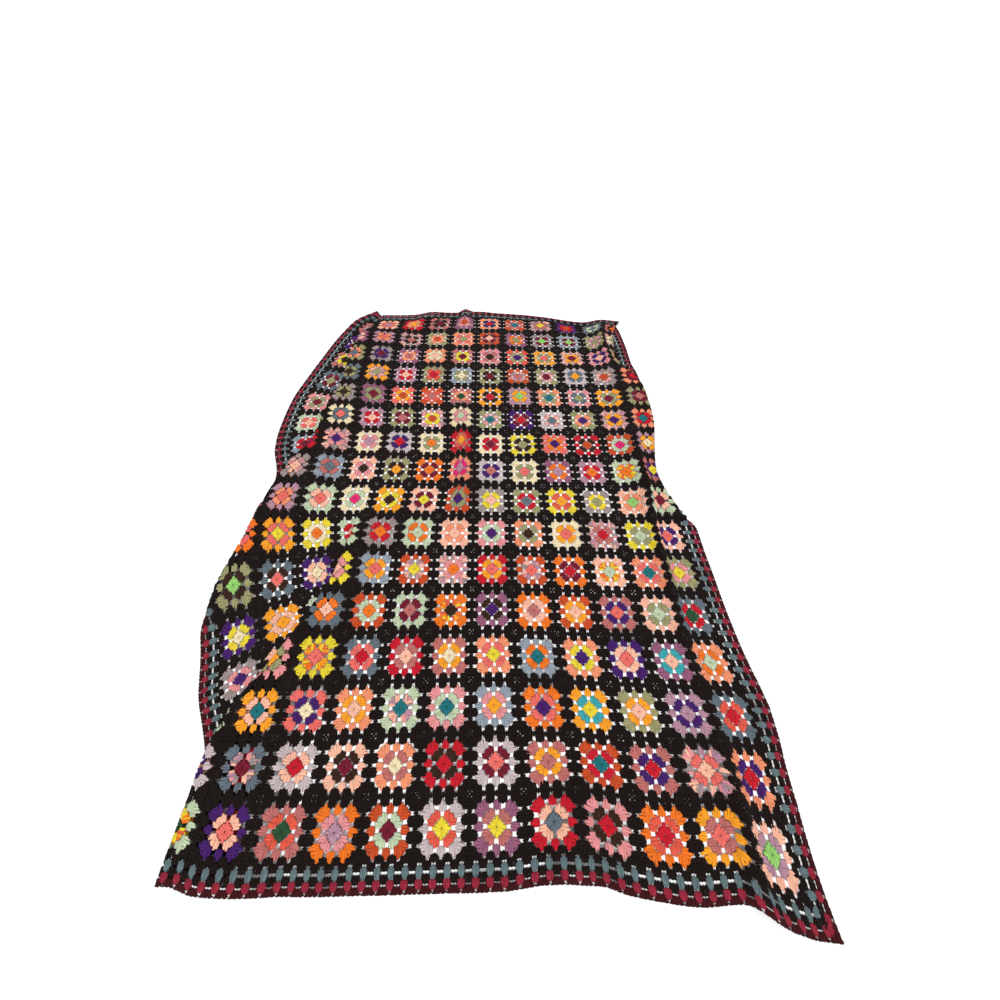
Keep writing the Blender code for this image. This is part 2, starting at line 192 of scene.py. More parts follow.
# Right half: slope of the row, column of the one crease, and place of the edge.
RIGHT = StationTable(
    ("row", "tilt", "hem", "edge_x", "edge_y"),
    (
        (0.16, -8.5, 13.20, 4.35, 13.50),
        (1.00, -7.0, 13.05, 4.64, 12.75),
        (2.00, -5.5, 13.05, 4.72, 11.80),
        (3.00, -4.5, 12.85, 4.75, 10.95),
        (3.80, -3.5, 13.00, 4.86, 10.25),
        (4.50, -3.2, 13.26, 4.88, 9.65),
        (5.00, -3.0, 13.28, 4.72, 9.18),
        (6.00, -2.8, 13.36, 4.55, 8.20),
        (7.00, -2.5, 13.25, 4.38, 7.15),
        (8.00, -2.5, 13.14, 4.28, 6.10),
        (9.00, -2.5, 13.42, 4.65, 5.10),
        (10.00, -2.8, 13.84, 5.15, 4.10),
        (12.00, -3.0, 13.84, 5.35, 2.20),
        (14.00, -3.5, 13.84, 5.42, 0.20),
        (15.00, -3.5, 13.84, 5.45, -0.80),
        (16.84, -5.0, 13.84, 5.45, -2.70),
    ),
)

# Drift of both ends off the straight rows, by column: at the head and at the foot towards the head,
# and at the foot towards the right.
DRIFT = StationTable(
    ("column", "head_along", "foot_along", "foot_across"),
    (
        (0.16, 0.00, 0.26, 0.00),
        (1.20, -0.10, 0.26, 0.00),
        (2.20, -0.38, 0.26, 0.00),
        (2.80, -0.42, 0.14, 0.00),
        (4.30, -0.42, 0.06, 0.00),
        (5.00, -0.38, 0.05, 0.00),
        (6.20, -0.08, 0.05, 0.00),
        (8.00, -0.08, 0.07, 0.04),
        (8.76, -0.08, 0.19, 0.10),
        (9.30, -0.08, 0.28, 0.13),
        (9.80, -0.08, 0.25, 0.15),
        (10.30, -0.08, 0.15, 0.17),
        (11.30, -0.05, 0.09, 0.22),
        (12.20, 0.00, 0.18, 0.24),
        (12.60, 0.00, 0.02, 0.29),
        (13.00, 0.00, -0.12, 0.28),
        (13.40, 0.00, -0.17, 0.20),
        (13.84, 0.00, -0.17, 0.12),
    ),
)


@dataclass(frozen=True)
class Ridge:
    """Pinched ridge that stands up along a column, in squares."""

    column: float
    first_row: float
    last_row: float
    height: float
    half_width: float
    taken: float        # length of cloth that it takes up


@dataclass(frozen=True)
class RowPlan:
    """How rows run in plan on one side of the middle column: start, folds and directions."""

    start: np.ndarray       # place of the row on the middle column, cloth taken by ridges left off
    out: np.ndarray         # direction on the main field
    tuck: np.ndarray        # length to the inner tuck's crease
    width: np.ndarray       # width of the layer turned back there
    back: np.ndarray        # direction of that layer
    beyond: np.ndarray      # direction past the tuck
    tuck_share: np.ndarray  # 0 for no tuck to 1 for a full one
    hem: np.ndarray         # length to the outer crease
    inner: np.ndarray       # width of the layer turned back there
    hem_back: np.ndarray    # direction of that layer
    last: np.ndarray        # direction of the last layer, out to the edge
    hem_share: np.ndarray   # 0 for no fold to 1 for a full one
    total: float            # length to the blanket's edge


@dataclass(frozen=True)
class LaidSheet:
    """The way the flat blanket comes to lie; lengths are in squares unless they say metres.

    Rows keep their own length: they run from the middle column outwards, and where the blanket is
    tucked under they turn back on themselves, one layer below the other.
    """

    border: float = 0.34                # width of the border
    middle_column: float = 8.0          # column that rows are measured from
    middle_x: float = -0.247            # place of that column,
    middle_y: float = 2.347             # at row_of_middle
    row_of_middle: float = 12.0
    row_pitch: float = 1.01             # distance between rows along the middle column
    column_pitch: float = 0.985         # distance between columns along a row
    head_shortening: float = 0.18       # length that the head loses in its ripples,
    head_shortening_row: float = 1.2    # from this row on
    layer: float = 0.070                # height of one layer
    fold: float = 0.055                 # half the length of cloth in the round of a fold
    pinned: float = 0.30                # length past the crease over which the edge gets its place
    edge_step: float = 0.40             # rows to either side that give the edge's direction
    rise: float = 0.80                  # length over which a row climbs onto a hidden layer,
    ledge: float = 0.20                 # and how far before that layer it has done so
    centre_x: float = -0.807            # middle of the laid outline
    centre_y: float = 5.567
    gather_start: float = 9.3           # columns between which the head is gathered in
    gather_end: float = 12.2
    gather_row: float = 1.80            # row that the gather reaches to
    gather_taken: float = 0.42          # length of cloth that it takes up
    gather_height: float = 0.03
    gather_sunk_from: float = 12.3      # columns between which it sinks flat again
    gather_sunk_by: float = 12.9
    head_drift_row: float = 2.9         # rows from which the ends drift off their straight rows
    foot_drift_row: float = 13.8
    foot_across_row: float = 12.0       # rows between which the foot drifts to the right
    foot_across_full: float = 16.0
    swell_height: float = 0.06
    swell_across: float = 3.3           # length of the swells across and along
    swell_along: float = 4.4
    swell_skew: float = 0.11            # how far they slant
    swell_phase: float = 1.0
    swell_fullness: float = 0.9         # how broad their tops are
    sheet: float = 0.0030               # thickness of the solid sheet, in metres
    nudge: float = 0.010                # step that gives the slope of the sheet
    ridges: tuple[Ridge, ...] = (
        Ridge(7.05, 5.0, 9.9, 0.20, 0.42, 0.16),
        Ridge(7.00, -0.6, 1.4, 0.15, 0.40, 0.10),
        Ridge(12.42, 0.6, 3.8, 0.21, 0.50, 0.40),
        Ridge(12.55, 5.0, 14.4, 0.20, 0.42, 0.30),
        Ridge(9.30, 15.3, 17.8, 0.20, 0.60, 0.05),
        Ridge(12.50, 13.8, 17.8, 0.20, 0.42, 0.20),
    )

    @property
    def edge_left(self) -> float:
        """Column coordinate of the left edge."""
        return 0.5 - self.border

    @property
    def edge_right(self) -> float:
        """Column coordinate of the right edge."""
        return COLUMNS + 0.5 + self.border

    @property
    def edge_head(self) -> float:
        """Row coordinate of the head's edge."""
        return 0.5 - self.border

    @property
    def edge_foot(self) -> float:
        """Row coordinate of the foot's edge."""
        return ROWS + 0.5 + self.border

    def turned_in(self, x: np.ndarray) -> np.ndarray:
        """Length past a fold, eased over the round of the fold."""
        rounded = (np.clip(x, -self.fold, self.fold) + self.fold) ** 2 / (4.0 * self.fold)
        return np.where(x > self.fold, x, rounded)

    def layer_step(self, x: np.ndarray) -> np.ndarray:
        """Share of one layer gone down at length x past a fold."""
        return smooth((x + self.fold) / (2.0 * self.fold))

    def ridge_lift(self, u: np.ndarray, row: np.ndarray) -> tuple[np.ndarray, np.ndarray]:
        """Work out the pinched ridges.

        Args:
            u: Column coordinates.
            row: Row coordinates.

        Returns:
            Height of the ridges, and the cloth they take up on the way from the middle.
        """
        lift = np.zeros_like(u)
        taken = np.zeros_like(u)
        for ridge in self.ridges:
            span = ridge.last_row - ridge.first_row
            along = np.clip((2.0 * row - ridge.first_row - ridge.last_row) / span, -1.0, 1.0)
            strength = np.sqrt(0.5 + 0.5 * np.cos(pi * along))
            across = np.clip((u - ridge.column) / ridge.half_width, -1.0, 1.0)
            lift += ridge.height * strength * (0.5 + 0.5 * np.cos(pi * across))
            outward = np.sign(ridge.column - self.middle_column)
            progress = 0.5 + 0.5 * outward * (u - ridge.column) / ridge.half_width
            taken += ridge.taken * strength * smooth(progress)
        return lift, taken

    def swell(self, u: np.ndarray, row: np.ndarray) -> np.ndarray:
        """Height of the low swells: mostly nothing, with soft rises here and there."""
        across = np.sin(2.0 * pi * (u / self.swell_across + self.swell_skew * row))
        skewed = row / self.swell_along - self.swell_skew * u
        along = np.sin(2.0 * pi * skewed + self.swell_phase)
        return self.swell_height * smooth(self.swell_fullness * across * along)

    def head_gather(self, u: np.ndarray, row: np.ndarray) -> tuple[np.ndarray, np.ndarray]:
        """Draw rows together across the head's right end.

        Args:
            u: Column coordinates.
            row: Row coordinates.

        Returns:
            Row that each point comes to lie at, and its height there.
        """
        share = smooth((u - self.gather_start) / (self.gather_end - self.gather_start))
        sunk_over = self.gather_sunk_by - self.gather_sunk_from
        sunk = smooth((u - self.gather_sunk_from) / sunk_over)
        progress = (self.gather_row - row) / (self.gather_row - self.edge_head)
        roll = np.sin(pi * np.clip(progress, 0.0, 1.0)) ** 2
        height = self.gather_height * share * (1.0 - sunk) * roll
        return row + self.gather_taken * share * smooth(progress), height

    def end_drift(self, u: np.ndarray, row: np.ndarray) -> tuple[np.ndarray, np.ndarray]:
        """Work out how far points have drifted off their straight rows at the head and foot.

        Args:
            u: Column coordinates.
            row: Row coordinates.

        Returns:
            The drift across and the drift along.
        """
        head = smooth((self.head_drift_row - row) / (self.head_drift_row - self.edge_head))
        foot = smooth((row - self.foot_drift_row) / (self.edge_foot - self.foot_drift_row))
        across_over = self.foot_across_full - self.foot_across_row
        foot_across = smooth((row - self.foot_across_row) / across_over)
        along = head * DRIFT.at("head_along", u) + foot * DRIFT.at("foot_along", u)
        return foot_across * DRIFT.at("foot_across", u), along

    def plan(self, row: np.ndarray, side: int) -> RowPlan:
        """Work out how rows run.

        The outer crease and the edge's own place fix how much is turned back between them, since
        the layers in between must add up to the length of row that is left.

        Args:
            row: Row coordinates.
            side: -1 for the left half and +1 for the right half.

        Returns:
            The plan of each row.
        """
        table, edge = (LEFT, self.edge_left) if side < 0 else (RIGHT, self.edge_right)
        taken = self.ridge_lift(np.full_like(row, edge), row)[1]
        early = (self.head_shortening_row - row) / self.head_shortening_row
        shortened = self.head_shortening * smooth(early)
        middle_y = self.middle_y + self.row_pitch * (self.row_of_middle - row) - shortened
        start = np.stack([np.full_like(row, self.middle_x), middle_y], axis=-1)
        out = side * self.column_pitch * heading(table.at("tilt", row))
        if side < 0:
            tuck = self.middle_column - table.at("tuck", row)
            width = table.at("width", row)
            back = heading(table.at("back_tilt", row))
            beyond = -self.column_pitch * heading(table.at("side_tilt", row))
        else:
            tuck, width, back, beyond = np.zeros_like(row), np.zeros_like(row), out, out
        total = abs(edge - self.middle_column)
        hem = side * (table.at("hem", row) - self.middle_column)
        free = np.maximum(total - hem, TINY)
        crease = start + scaled(tuck - taken, out) + scaled(width, back)
        crease = crease + scaled(hem - tuck - width, beyond)
        if side > 0:
            crease = start + scaled(hem - taken, out)
        pinned = smooth(free / self.pinned)
        path_end = crease + scaled(free, beyond)
        ends = ("edge_x", "edge_y")
        target = np.stack([table.at(name, row) for name in ends], axis=-1)
        end = path_end + scaled(pinned, target - path_end)
        ahead = np.stack([table.at(name, row + self.edge_step) for name in ends], axis=-1)
        behind = np.stack([table.at(name, row - self.edge_step) for name in ends], axis=-1)
        run = behind - ahead
        across = side * np.stack([run[..., 1], -run[..., 0]], axis=-1)
        last = unit(scaled(pinned, unit(across)) + scaled(1.0 - pinned, unit(beyond)))
        gap = crease - end
        slack = np.maximum(free + dot(gap, last), TINY)
        outer = np.clip((free ** 2 - dot(gap, gap)) / (2.0 * slack), 0.0, free)
        inner = np.maximum(free - outer, TINY)
        hem_back = scaled(1.0 / inner, end - scaled(outer, last) - crease)
        turn = 0.5 - 0.5 * dot(unit(hem_back), unit(beyond))
        return RowPlan(
            start=start, out=out, tuck=tuck, width=width, back=back, beyond=beyond,
            tuck_share=smooth(width / (2.0 * self.fold)), hem=hem, inner=inner,
            hem_back=hem_back, last=last, hem_share=turn * smooth(inner / (2.0 * self.fold)),
            total=total,
        )

    def lay_half(self, u: np.ndarray, row: np.ndarray, side: int) -> np.ndarray:
        """Lay points on one side of the middle column.

        Args:
            u: Column coordinates.
            row: Row coordinates.
            side: -1 for the left half and +1 for the right half.

        Returns:
            Place in plan and height, in squares, one line a point.
        """
        plan = self.plan(row, side)
        lift, taken = self.ridge_lift(u, row)
        s = side * (u - self.middle_column)
        tucked = plan.tuck + plan.width
        hemmed = plan.hem + plan.inner
        place = plan.start + scaled(s - taken, plan.out)
        place = place + scaled(self.turned_in(s - plan.tuck), plan.back - plan.out)
        place = place + scaled(self.turned_in(s - tucked), plan.beyond - plan.back)
        place = place + scaled(self.turned_in(s - plan.hem), plan.hem_back - plan.beyond)
        place = place + scaled(self.turned_in(s - hemmed), plan.last - plan.hem_back)
        height = np.zeros_like(row)
        hidden = np.zeros_like(row)
        folds = ((plan.tuck, plan.width, plan.tuck_share), (plan.hem, plan.inner, plan.hem_share))
        for crease, width, share in folds:
            down = self.layer_step(s - crease) + self.layer_step(s - crease - width)
            at_edge = self.layer_step(plan.total - crease)
            at_edge = at_edge + self.layer_step(plan.total - crease - width)
            climb = smooth(1.0 + (s - crease + width + self.ledge) / self.rise)
            height = height + self.layer * share * (at_edge * climb - down)
            past = self.layer_step(s - crease) - self.layer_step(s - crease - 2.0 * width)
            hidden = hidden + share * past
        height = height + np.clip(1.0 - hidden, 0.0, 1.0) * (lift + self.swell(u, row))
        return np.stack([place[..., 0], place[..., 1], height], axis=-1)

    def lay(self, u: np.ndarray, row: np.ndarray) -> np.ndarray:
        """Lay points of the flat blanket.

        Args:
            u: Column coordinates.
            row: Row coordinates.

        Returns:
            Places in metres, one line a point.
        """
        laid_row, rolled = self.head_gather(u, row)
        places = np.empty(u.shape + (3,))
        left = u < self.middle_column
        places[left] = self.lay_half(u[left], laid_row[left], -1)
        places[~left] = self.lay_half(u[~left], laid_row[~left], 1)
        across, along = self.end_drift(u, row)
        places += np.stack([across - self.centre_x, along - self.centre_y, rolled], axis=-1)
        return places * SQUARE

    def wrap(self, flat: np.ndarray) -> np.ndarray:
        """Carry points that stand on the flat blanket onto the laid one.

        Args:
            flat: Points in metres, with the height above the wrong side of the crochet as z.

        Returns:
            The same points on the laid blanket, in metres.
        """
        u, row = flat[:, 0] / SQUARE, -flat[:, 1] / SQUARE
        middle = self.lay(u, row)
        middle[:, 2] += 0.5 * self.sheet
        across = self.lay(u + self.nudge, row) - self.lay(u - self.nudge, row)
        along = self.lay(u, row - self.nudge) - self.lay(u, row + self.nudge)
        normal = unit(np.cross(across, along))
        return middle + scaled(flat[:, 2] - 0.5 * self.sheet, normal)


# ---------------------------------------------------------------- yarn


class Dye(Enum):
    """The scraps of yarn, with their red, green and blue levels."""

    BLACK = (25, 15, 13)
    CREAM = (238, 220, 180)
    GREY = (158, 142, 140)
    SILVER = (200, 184, 186)
    PALE_PEACH = (248, 186, 160)
    PINK = (228, 146, 148)
    DUSTY_PINK = (190, 110, 106)
    HOT_PINK = (222, 44, 112)
    SALMON = (234, 110, 102)
    CORAL = (226, 92, 72)
    PEACH = (240, 148, 110)
    ORANGE = (238, 118, 36)
    RUST = (200, 78, 38)
    GOLD = (248, 162, 42)
    YELLOW = (232, 210, 56)
    OLIVE_YELLOW = (188, 174, 56)
    LIME = (150, 205, 110)
    SAGE = (156, 152, 108)
    MINT = (192, 206, 172)
    GREEN = (44, 80, 50)
    TEAL = (32, 112, 120)
    TURQUOISE = (60, 165, 172)
    STEEL_BLUE = (100, 112, 122)
    SKY = (146, 156, 168)
    NAVY = (38, 44, 88)
    LILAC = (182, 138, 156)
    MAUVE = (150, 92, 120)
    PURPLE = (70, 30, 104)
    RED = (198, 28, 44)
    BURGUNDY = (116, 26, 46)
    DARK_BROWN = (56, 34, 22)
    BORDER_BLUE = (98, 116, 120)
    CRIMSON = (148, 40, 58)
    MAROON = (62, 16, 20)
    HEATHER = (188, 150, 160)
    SUNSET = (232, 150, 84)

    @property
    def colour(self) -> tuple[float, ...]:
        """Linear red, green and blue of the yarn, which drinks some light between its fibres."""
        return tuple(YARN_DEPTH * linear(level) for level in self.value)


class Round(Enum):
    """The coloured rounds of a square, with the dyes they are often worked in and how often."""

    FIRST = {
        Dye.YELLOW: 6, Dye.RED: 6, Dye.SALMON: 6, Dye.ORANGE: 6, Dye.PALE_PEACH: 6, Dye.TEAL: 3,
        Dye.PURPLE: 4, Dye.LILAC: 3, Dye.HOT_PINK: 3, Dye.GREEN: 2, Dye.STEEL_BLUE: 4,
        Dye.BURGUNDY: 5, Dye.RUST: 5, Dye.SAGE: 4, Dye.DARK_BROWN: 4, Dye.LIME: 4, Dye.MINT: 3,
        Dye.GOLD: 4, Dye.CREAM: 3, Dye.DUSTY_PINK: 3,
    }
    SECOND = {
        Dye.PURPLE: 5, Dye.RED: 6, Dye.PINK: 5, Dye.ORANGE: 6, Dye.YELLOW: 5, Dye.LILAC: 3,
        Dye.CORAL: 5, Dye.MINT: 4, Dye.STEEL_BLUE: 3, Dye.GOLD: 6, Dye.DARK_BROWN: 5,
        Dye.BURGUNDY: 6, Dye.PALE_PEACH: 5, Dye.SAGE: 5, Dye.TURQUOISE: 2, Dye.SALMON: 5,
        Dye.HOT_PINK: 3, Dye.HEATHER: 4, Dye.SUNSET: 3, Dye.NAVY: 1, Dye.DUSTY_PINK: 4,
        Dye.PEACH: 4, Dye.CREAM: 3,
    }
    THIRD = {
        Dye.LILAC: 9, Dye.PINK: 6, Dye.ORANGE: 6, Dye.YELLOW: 5, Dye.MINT: 9, Dye.CORAL: 4,
        Dye.SKY: 3, Dye.PEACH: 7, Dye.SAGE: 7, Dye.RED: 5, Dye.STEEL_BLUE: 5, Dye.GOLD: 5,
        Dye.GREY: 5, Dye.MAUVE: 4, Dye.OLIVE_YELLOW: 2, Dye.PURPLE: 3, Dye.SALMON: 4,
        Dye.RUST: 5, Dye.SILVER: 6, Dye.DUSTY_PINK: 5, Dye.HEATHER: 6, Dye.CREAM: 5,
        Dye.PALE_PEACH: 6,
    }


@dataclass(frozen=True)
class Batch:
    """Rows of squares that were made from the same basket of scraps.

    Attributes:
        last_row: The last of the rows.
        favoured: Dyes that there was more of.
        favour: How much more.
    """

    last_row: int
    favoured: frozenset[Dye]
    favour: float


MUTED = frozenset({
    Dye.GREY, Dye.MAUVE, Dye.HEATHER, Dye.DUSTY_PINK, Dye.BURGUNDY, Dye.RUST, Dye.SAGE,
    Dye.DARK_BROWN, Dye.PEACH,
})
PALE = frozenset({
    Dye.GOLD, Dye.PEACH, Dye.YELLOW, Dye.MINT, Dye.CREAM, Dye.PALE_PEACH, Dye.ORANGE,
    Dye.SALMON,
})
DEEP = frozenset({
    Dye.PURPLE, Dye.BURGUNDY, Dye.MAUVE, Dye.RED, Dye.CORAL, Dye.DUSTY_PINK, Dye.RUST, Dye.NAVY,
})
BATCHES = (Batch(5, MUTED, 4.0), Batch(8, MUTED, 1.6), Batch(14, PALE, 1.8), Batch(16, DEEP, 3.0))

# Yarns that change dye along their length, with the dyes that they run through.
SPACE_DYED = {
    Dye.HEATHER: (Dye.LILAC, Dye.PALE_PEACH, Dye.GREY, Dye.PINK),
    Dye.SUNSET: (Dye.YELLOW, Dye.ORANGE, Dye.CORAL, Dye.GOLD),
}


class Kind(Enum):
    """The two strands that every stitch is made of."""

    POST = 0        # upright of the stitch
    LOOP = 1        # loop of yarn along its top


@dataclass(frozen=True)
class Yarn:
    """Thickness of the yarn and how it sits in the crochet; lengths in metres.

    Attributes:
        post_sides: Number of sides that a post has.
        post_ends: Where a post is full, from its foot to its top, as shares of its length.
        post_foot: Width of a post at its foot, as a share of its width at the top.
        post_head: Thickness of a post at its top, as a share of its thickness at the foot.
        post_dip: Slope of a post down towards its top, in radians.
        post_high: Thickness of a post through the crochet.
        post_rise: Height of a post's middle above the wrong side.
        loop_sides: Number of sides that a loop has.
        loop_high: Thickness of a loop through the crochet.
        loop_rise: Height of a loop's middle above the wrong side.
        unevenness: How much stitches differ, as a share of their size.
    """

    post_sides: int = 6
    post_ends: tuple[float, float] = (0.10, 0.90)
    post_foot: float = 0.88
    post_head: float = 0.80
    post_dip: float = 0.040
    post_high: float = 0.0025
    post_rise: float = 0.0019
    loop_sides: int = 4
    loop_high: float = 0.0022
    loop_rise: float = 0.0017
    unevenness: float = 0.07


@dataclass
class Stitches:
    """Places for strands on the flat blanket, one entry a strand, in metres."""

    kind: list[int] = field(default_factory=list)
    place: list[tuple[float, float, float]] = field(default_factory=list)
    turn: list[float] = field(default_factory=list)
    size: list[tuple[float, float, float]] = field(default_factory=list)
    dye: list[tuple[float, ...]] = field(default_factory=list)

    def add(self, kind: Kind, place: Sequence[float], turn: float, size: Sequence[float],
            dye: Sequence[float]) -> None:
        """Add one strand.

        Args:
            kind: Post or loop.
            place: Foot of a post or middle of a loop, in metres.
            turn: Direction in plan, as an angle from +Y, in radians.
            size: Width, length and thickness, in metres.
            dye: Linear colour.
        """
        self.kind.append(kind.value)
        self.place.append(tuple(place))
        self.turn.append(turn)
        self.size.append(tuple(size))
        self.dye.append(tuple(dye))


# ---------------------------------------------------------------- nodes


class Graph:
    """A node tree that is written as plain expressions."""

    def __init__(self, tree: bpy.types.NodeTree) -> None:
        """Start on an emptied tree."""
        self.tree = tree
        tree.nodes.clear()

    def node(self, kind: str, settings: dict[str, object] | None = None,
             sockets: dict[object, object] | None = None) -> bpy.types.Node:
        """Add any node.

        Args:
            kind: The node's type.
            settings: Properties, set before the sockets because they change which there are.
            sockets: Values or links by socket name or number.

        Returns:
            The node.
        """
        made = self.tree.nodes.new(kind)
        for name, value in (settings or {}).items():
            setattr(made, name, value)
        for name, value in (sockets or {}).items():
            if isinstance(value, Value):
                value = value.socket
            if isinstance(value, bpy.types.NodeSocket):
                self.tree.links.new(value, made.inputs[name])
            else:
                made.inputs[name].default_value = value
        return made

    def value(self, socket: bpy.types.NodeSocket) -> Value:
        """Wrap an output socket for use in expressions."""
        return Value(self, socket)

    def math(self, operation: str, *terms: object) -> Value:
        """Add one Math node."""
        made = self.node("ShaderNodeMath", {"operation": operation}, dict(enumerate(terms)))
        return Value(self, made.outputs[0])


class Value:
    """A number that the nodes work out."""

    def __init__(self, graph: Graph, socket: bpy.types.NodeSocket) -> None:
        """Wrap an output socket."""
        self.graph = graph
        self.socket = socket

    def __add__(self, other: object) -> Value:
        """Return self + other."""
        return self.graph.math("ADD", self, other)

    def __radd__(self, other: object) -> Value:
        """Return other + self."""
        return self.graph.math("ADD", other, self)

    def __sub__(self, other: object) -> Value:
        """Return self - other."""
        return self.graph.math("SUBTRACT", self, other)

    def __rsub__(self, other: object) -> Value:
        """Return other - self."""
        return self.graph.math("SUBTRACT", other, self)

    def __mul__(self, other: object) -> Value:
        """Return self times other."""
        return self.graph.math("MULTIPLY", self, other)

    def __rmul__(self, other: object) -> Value:
        """Return other times self."""
        return self.graph.math("MULTIPLY", other, self)

    def __abs__(self) -> Value:
        """Return the size of self."""
        return self.graph.math("ABSOLUTE", self)

    def sine(self) -> Value:
        """Return the sine of self."""
        return self.graph.math("SINE", self)


@dataclass(frozen=True)
class WoolFinish:
    """Plied, slightly hairy wool; the dye comes with each strand.

    Attributes:
        name: Name of the material.
        roughness: Roughness of the fibres.
        roughness_spread: How much smoother they are where the dye took best.
        specular: Level of the gloss, which wool has little of.
        sheen: Weight of the soft halo that fibres give at a glance.
        sheen_roughness: Spread of that halo.
        plies: Plies seen side by side round a strand.
        twist: Turns of a ply along a strand.
        mottle_size: Size of the patches where the dye took unevenly, in metres.
        mottle: How far the dye varies from patch to patch.
        fibre_size: Size of single fibres, in metres.
        fibre: How far fibres vary in tone.
        noise_detail: Number of finer layers in the patches and fibres.
        noise_roughness: Strength of each layer, as a share of the one before.
        hollow_shade: Tone in the hollows between plies.
        ply_shade_contrast: How much lighter a ply is than the hollows.
        relief: Height of the plies and fibres, in metres.
        relief_strength: How strongly they show.
        ply_relief: Share of that height that the plies have.
        fibre_relief: Share of that height that the fibres have.
    """

    name: str
    roughness: float = 0.92
    roughness_spread: float = 0.08
    specular: float = 0.08
    sheen: float = 0.02
    sheen_roughness: float = 0.6
    plies: int = 3
    twist: float = 1.0
    mottle_size: float = 0.009
    mottle: float = 0.22
    fibre_size: float = 0.0007
    fibre: float = 0.30
    noise_detail: float = 2.0
    noise_roughness: float = 0.6
    # hollow_shade: Painted shade: the tone painted into the hollows between plies.
    # ply_shade_contrast: How much lighter a ply's crest is painted than the shaded hollows.
    hollow_shade: float = 0.72
    ply_shade_contrast: float = 0.36
    relief: float = 0.0007
    relief_strength: float = 0.8
    ply_relief: float = 0.7
    fibre_relief: float = 0.5

    def build(self) -> bpy.types.Material:
        """Make the material."""
        material = bpy.data.materials.new(self.name)
        material.use_nodes = True
        graph = Graph(material.node_tree)
        places = graph.node("ShaderNodeTexCoord").outputs["Object"]
        strand = graph.node("ShaderNodeUVMap", {"uv_map": "strand"}).outputs["UV"]
        axes = graph.node("ShaderNodeSeparateXYZ", sockets={"Vector": strand}).outputs
        around, along = graph.value(axes["X"]), graph.value(axes["Y"])
        ply = abs((pi * (self.plies * around + self.twist * along)).sine())
        mottle = self.noise(graph, places, self.mottle_size)
        fibre = self.noise(graph, places, self.fibre_size)
        tone = 1.0 + self.mottle * (mottle - 0.5) + self.fibre * (fibre - 0.5)
        # Painted shade: the hollows between plies are painted darker than the ply crests, on top of
        # the bump that the same plies give.
        tone = tone * (self.hollow_shade + self.ply_shade_contrast * ply)
        dye = graph.node("ShaderNodeAttribute", {"attribute_name": "dye"}).outputs["Color"]
        colour = graph.node(
            "ShaderNodeVectorMath", {"operation": "SCALE"}, {"Vector": dye, "Scale": tone},
        ).outputs["Vector"]
        relief = graph.node("ShaderNodeBump", sockets={
            "Strength": self.relief_strength,
            "Distance": self.relief,
            "Height": self.ply_relief * ply + self.fibre_relief * fibre,
        }).outputs["Normal"]
        shader = graph.node("ShaderNodeBsdfPrincipled", sockets={
            "Base Color": colour,
            "Roughness": self.roughness - self.roughness_spread * mottle,
            "Metallic": 0.0,
            "Specular IOR Level": self.specular,
            "Sheen Weight": self.sheen,
            "Sheen Roughness": self.sheen_roughness,
            "Normal": relief,
        })
        graph.node("ShaderNodeOutputMaterial", sockets={"Surface": shader.outputs["BSDF"]})
        return material

    def noise(self, graph: Graph, places: bpy.types.NodeSocket, size: float) -> Value:
        """Add a noise of a given patch size in metres.

        Args:
            graph: The tree.
            places: Coordinates in metres.
            size: Size of the patches.

        Returns:
            The noise, from 0 to 1.
        """
        made = graph.node("ShaderNodeTexNoise", sockets={
            "Vector": places, "Scale": 1.0 / size,
            "Detail": self.noise_detail, "Roughness": self.noise_roughness,
        })
        return graph.value(made.outputs["Fac"])


# ---------------------------------------------------------------- strands


@dataclass(frozen=True)
class StrandShape:
    """A short round length of yarn along +Y, one metre in every direction until it is scaled.

    Attributes:
        name: Name of the mesh.
        sides: Number of sides.
        rings: Place along the strand, width and thickness of each ring between the two tips.
        start: Place of the first tip.
        end: Place of the last tip.
    """

    name: str
    sides: int
    rings: tuple[tuple[float, float, float], ...]
    start: float
    end: float

    def build(self) -> bpy.types.Object:
        """Make the strand, with a UV map that runs round it and along it."""
        verts = [(0.0, self.start, 0.0)]
        for along, width, high in self.rings:
            for k in range(self.sides):
                angle = 2.0 * pi * k / self.sides
                verts.append((0.5 * width * cos(angle), along, 0.5 * high * sin(angle)))
        verts.append((0.0, self.end, 0.0))
        faces, places = [], []
        last = len(verts) - 1
        stops = [self.start, *(along for along, _, _ in self.rings), self.end]
        shares = [(stop - self.start) / (self.end - self.start) for stop in stops]
        for k in range(self.sides):
            here, there = k / self.sides, (k + 1) / self.sides
            mid = 0.5 * (here + there)
            a, b = 1 + k, 1 + (k + 1) % self.sides
            faces.append((0, a, b))
            places += [(mid, shares[0]), (here, shares[1]), (there, shares[1])]
            for ring in range(len(self.rings) - 1):
                c, d = a + self.sides, b + self.sides
                faces.append((a, c, d, b))
                low, high = shares[ring + 1], shares[ring + 2]
                places += [(here, low), (here, high), (there, high), (there, low)]
                a, b = c, d
            faces.append((a, last, b))
            places += [(here, shares[-2]), (mid, shares[-1]), (there, shares[-2])]
        mesh = bpy.data.meshes.new(self.name)
        mesh.from_pydata(verts, [], faces)
        mesh.uv_layers.new(name="strand").data.foreach_set("uv", np.ravel(places))
        mesh.shade_smooth()
        return bpy.data.objects.new(self.name, mesh)


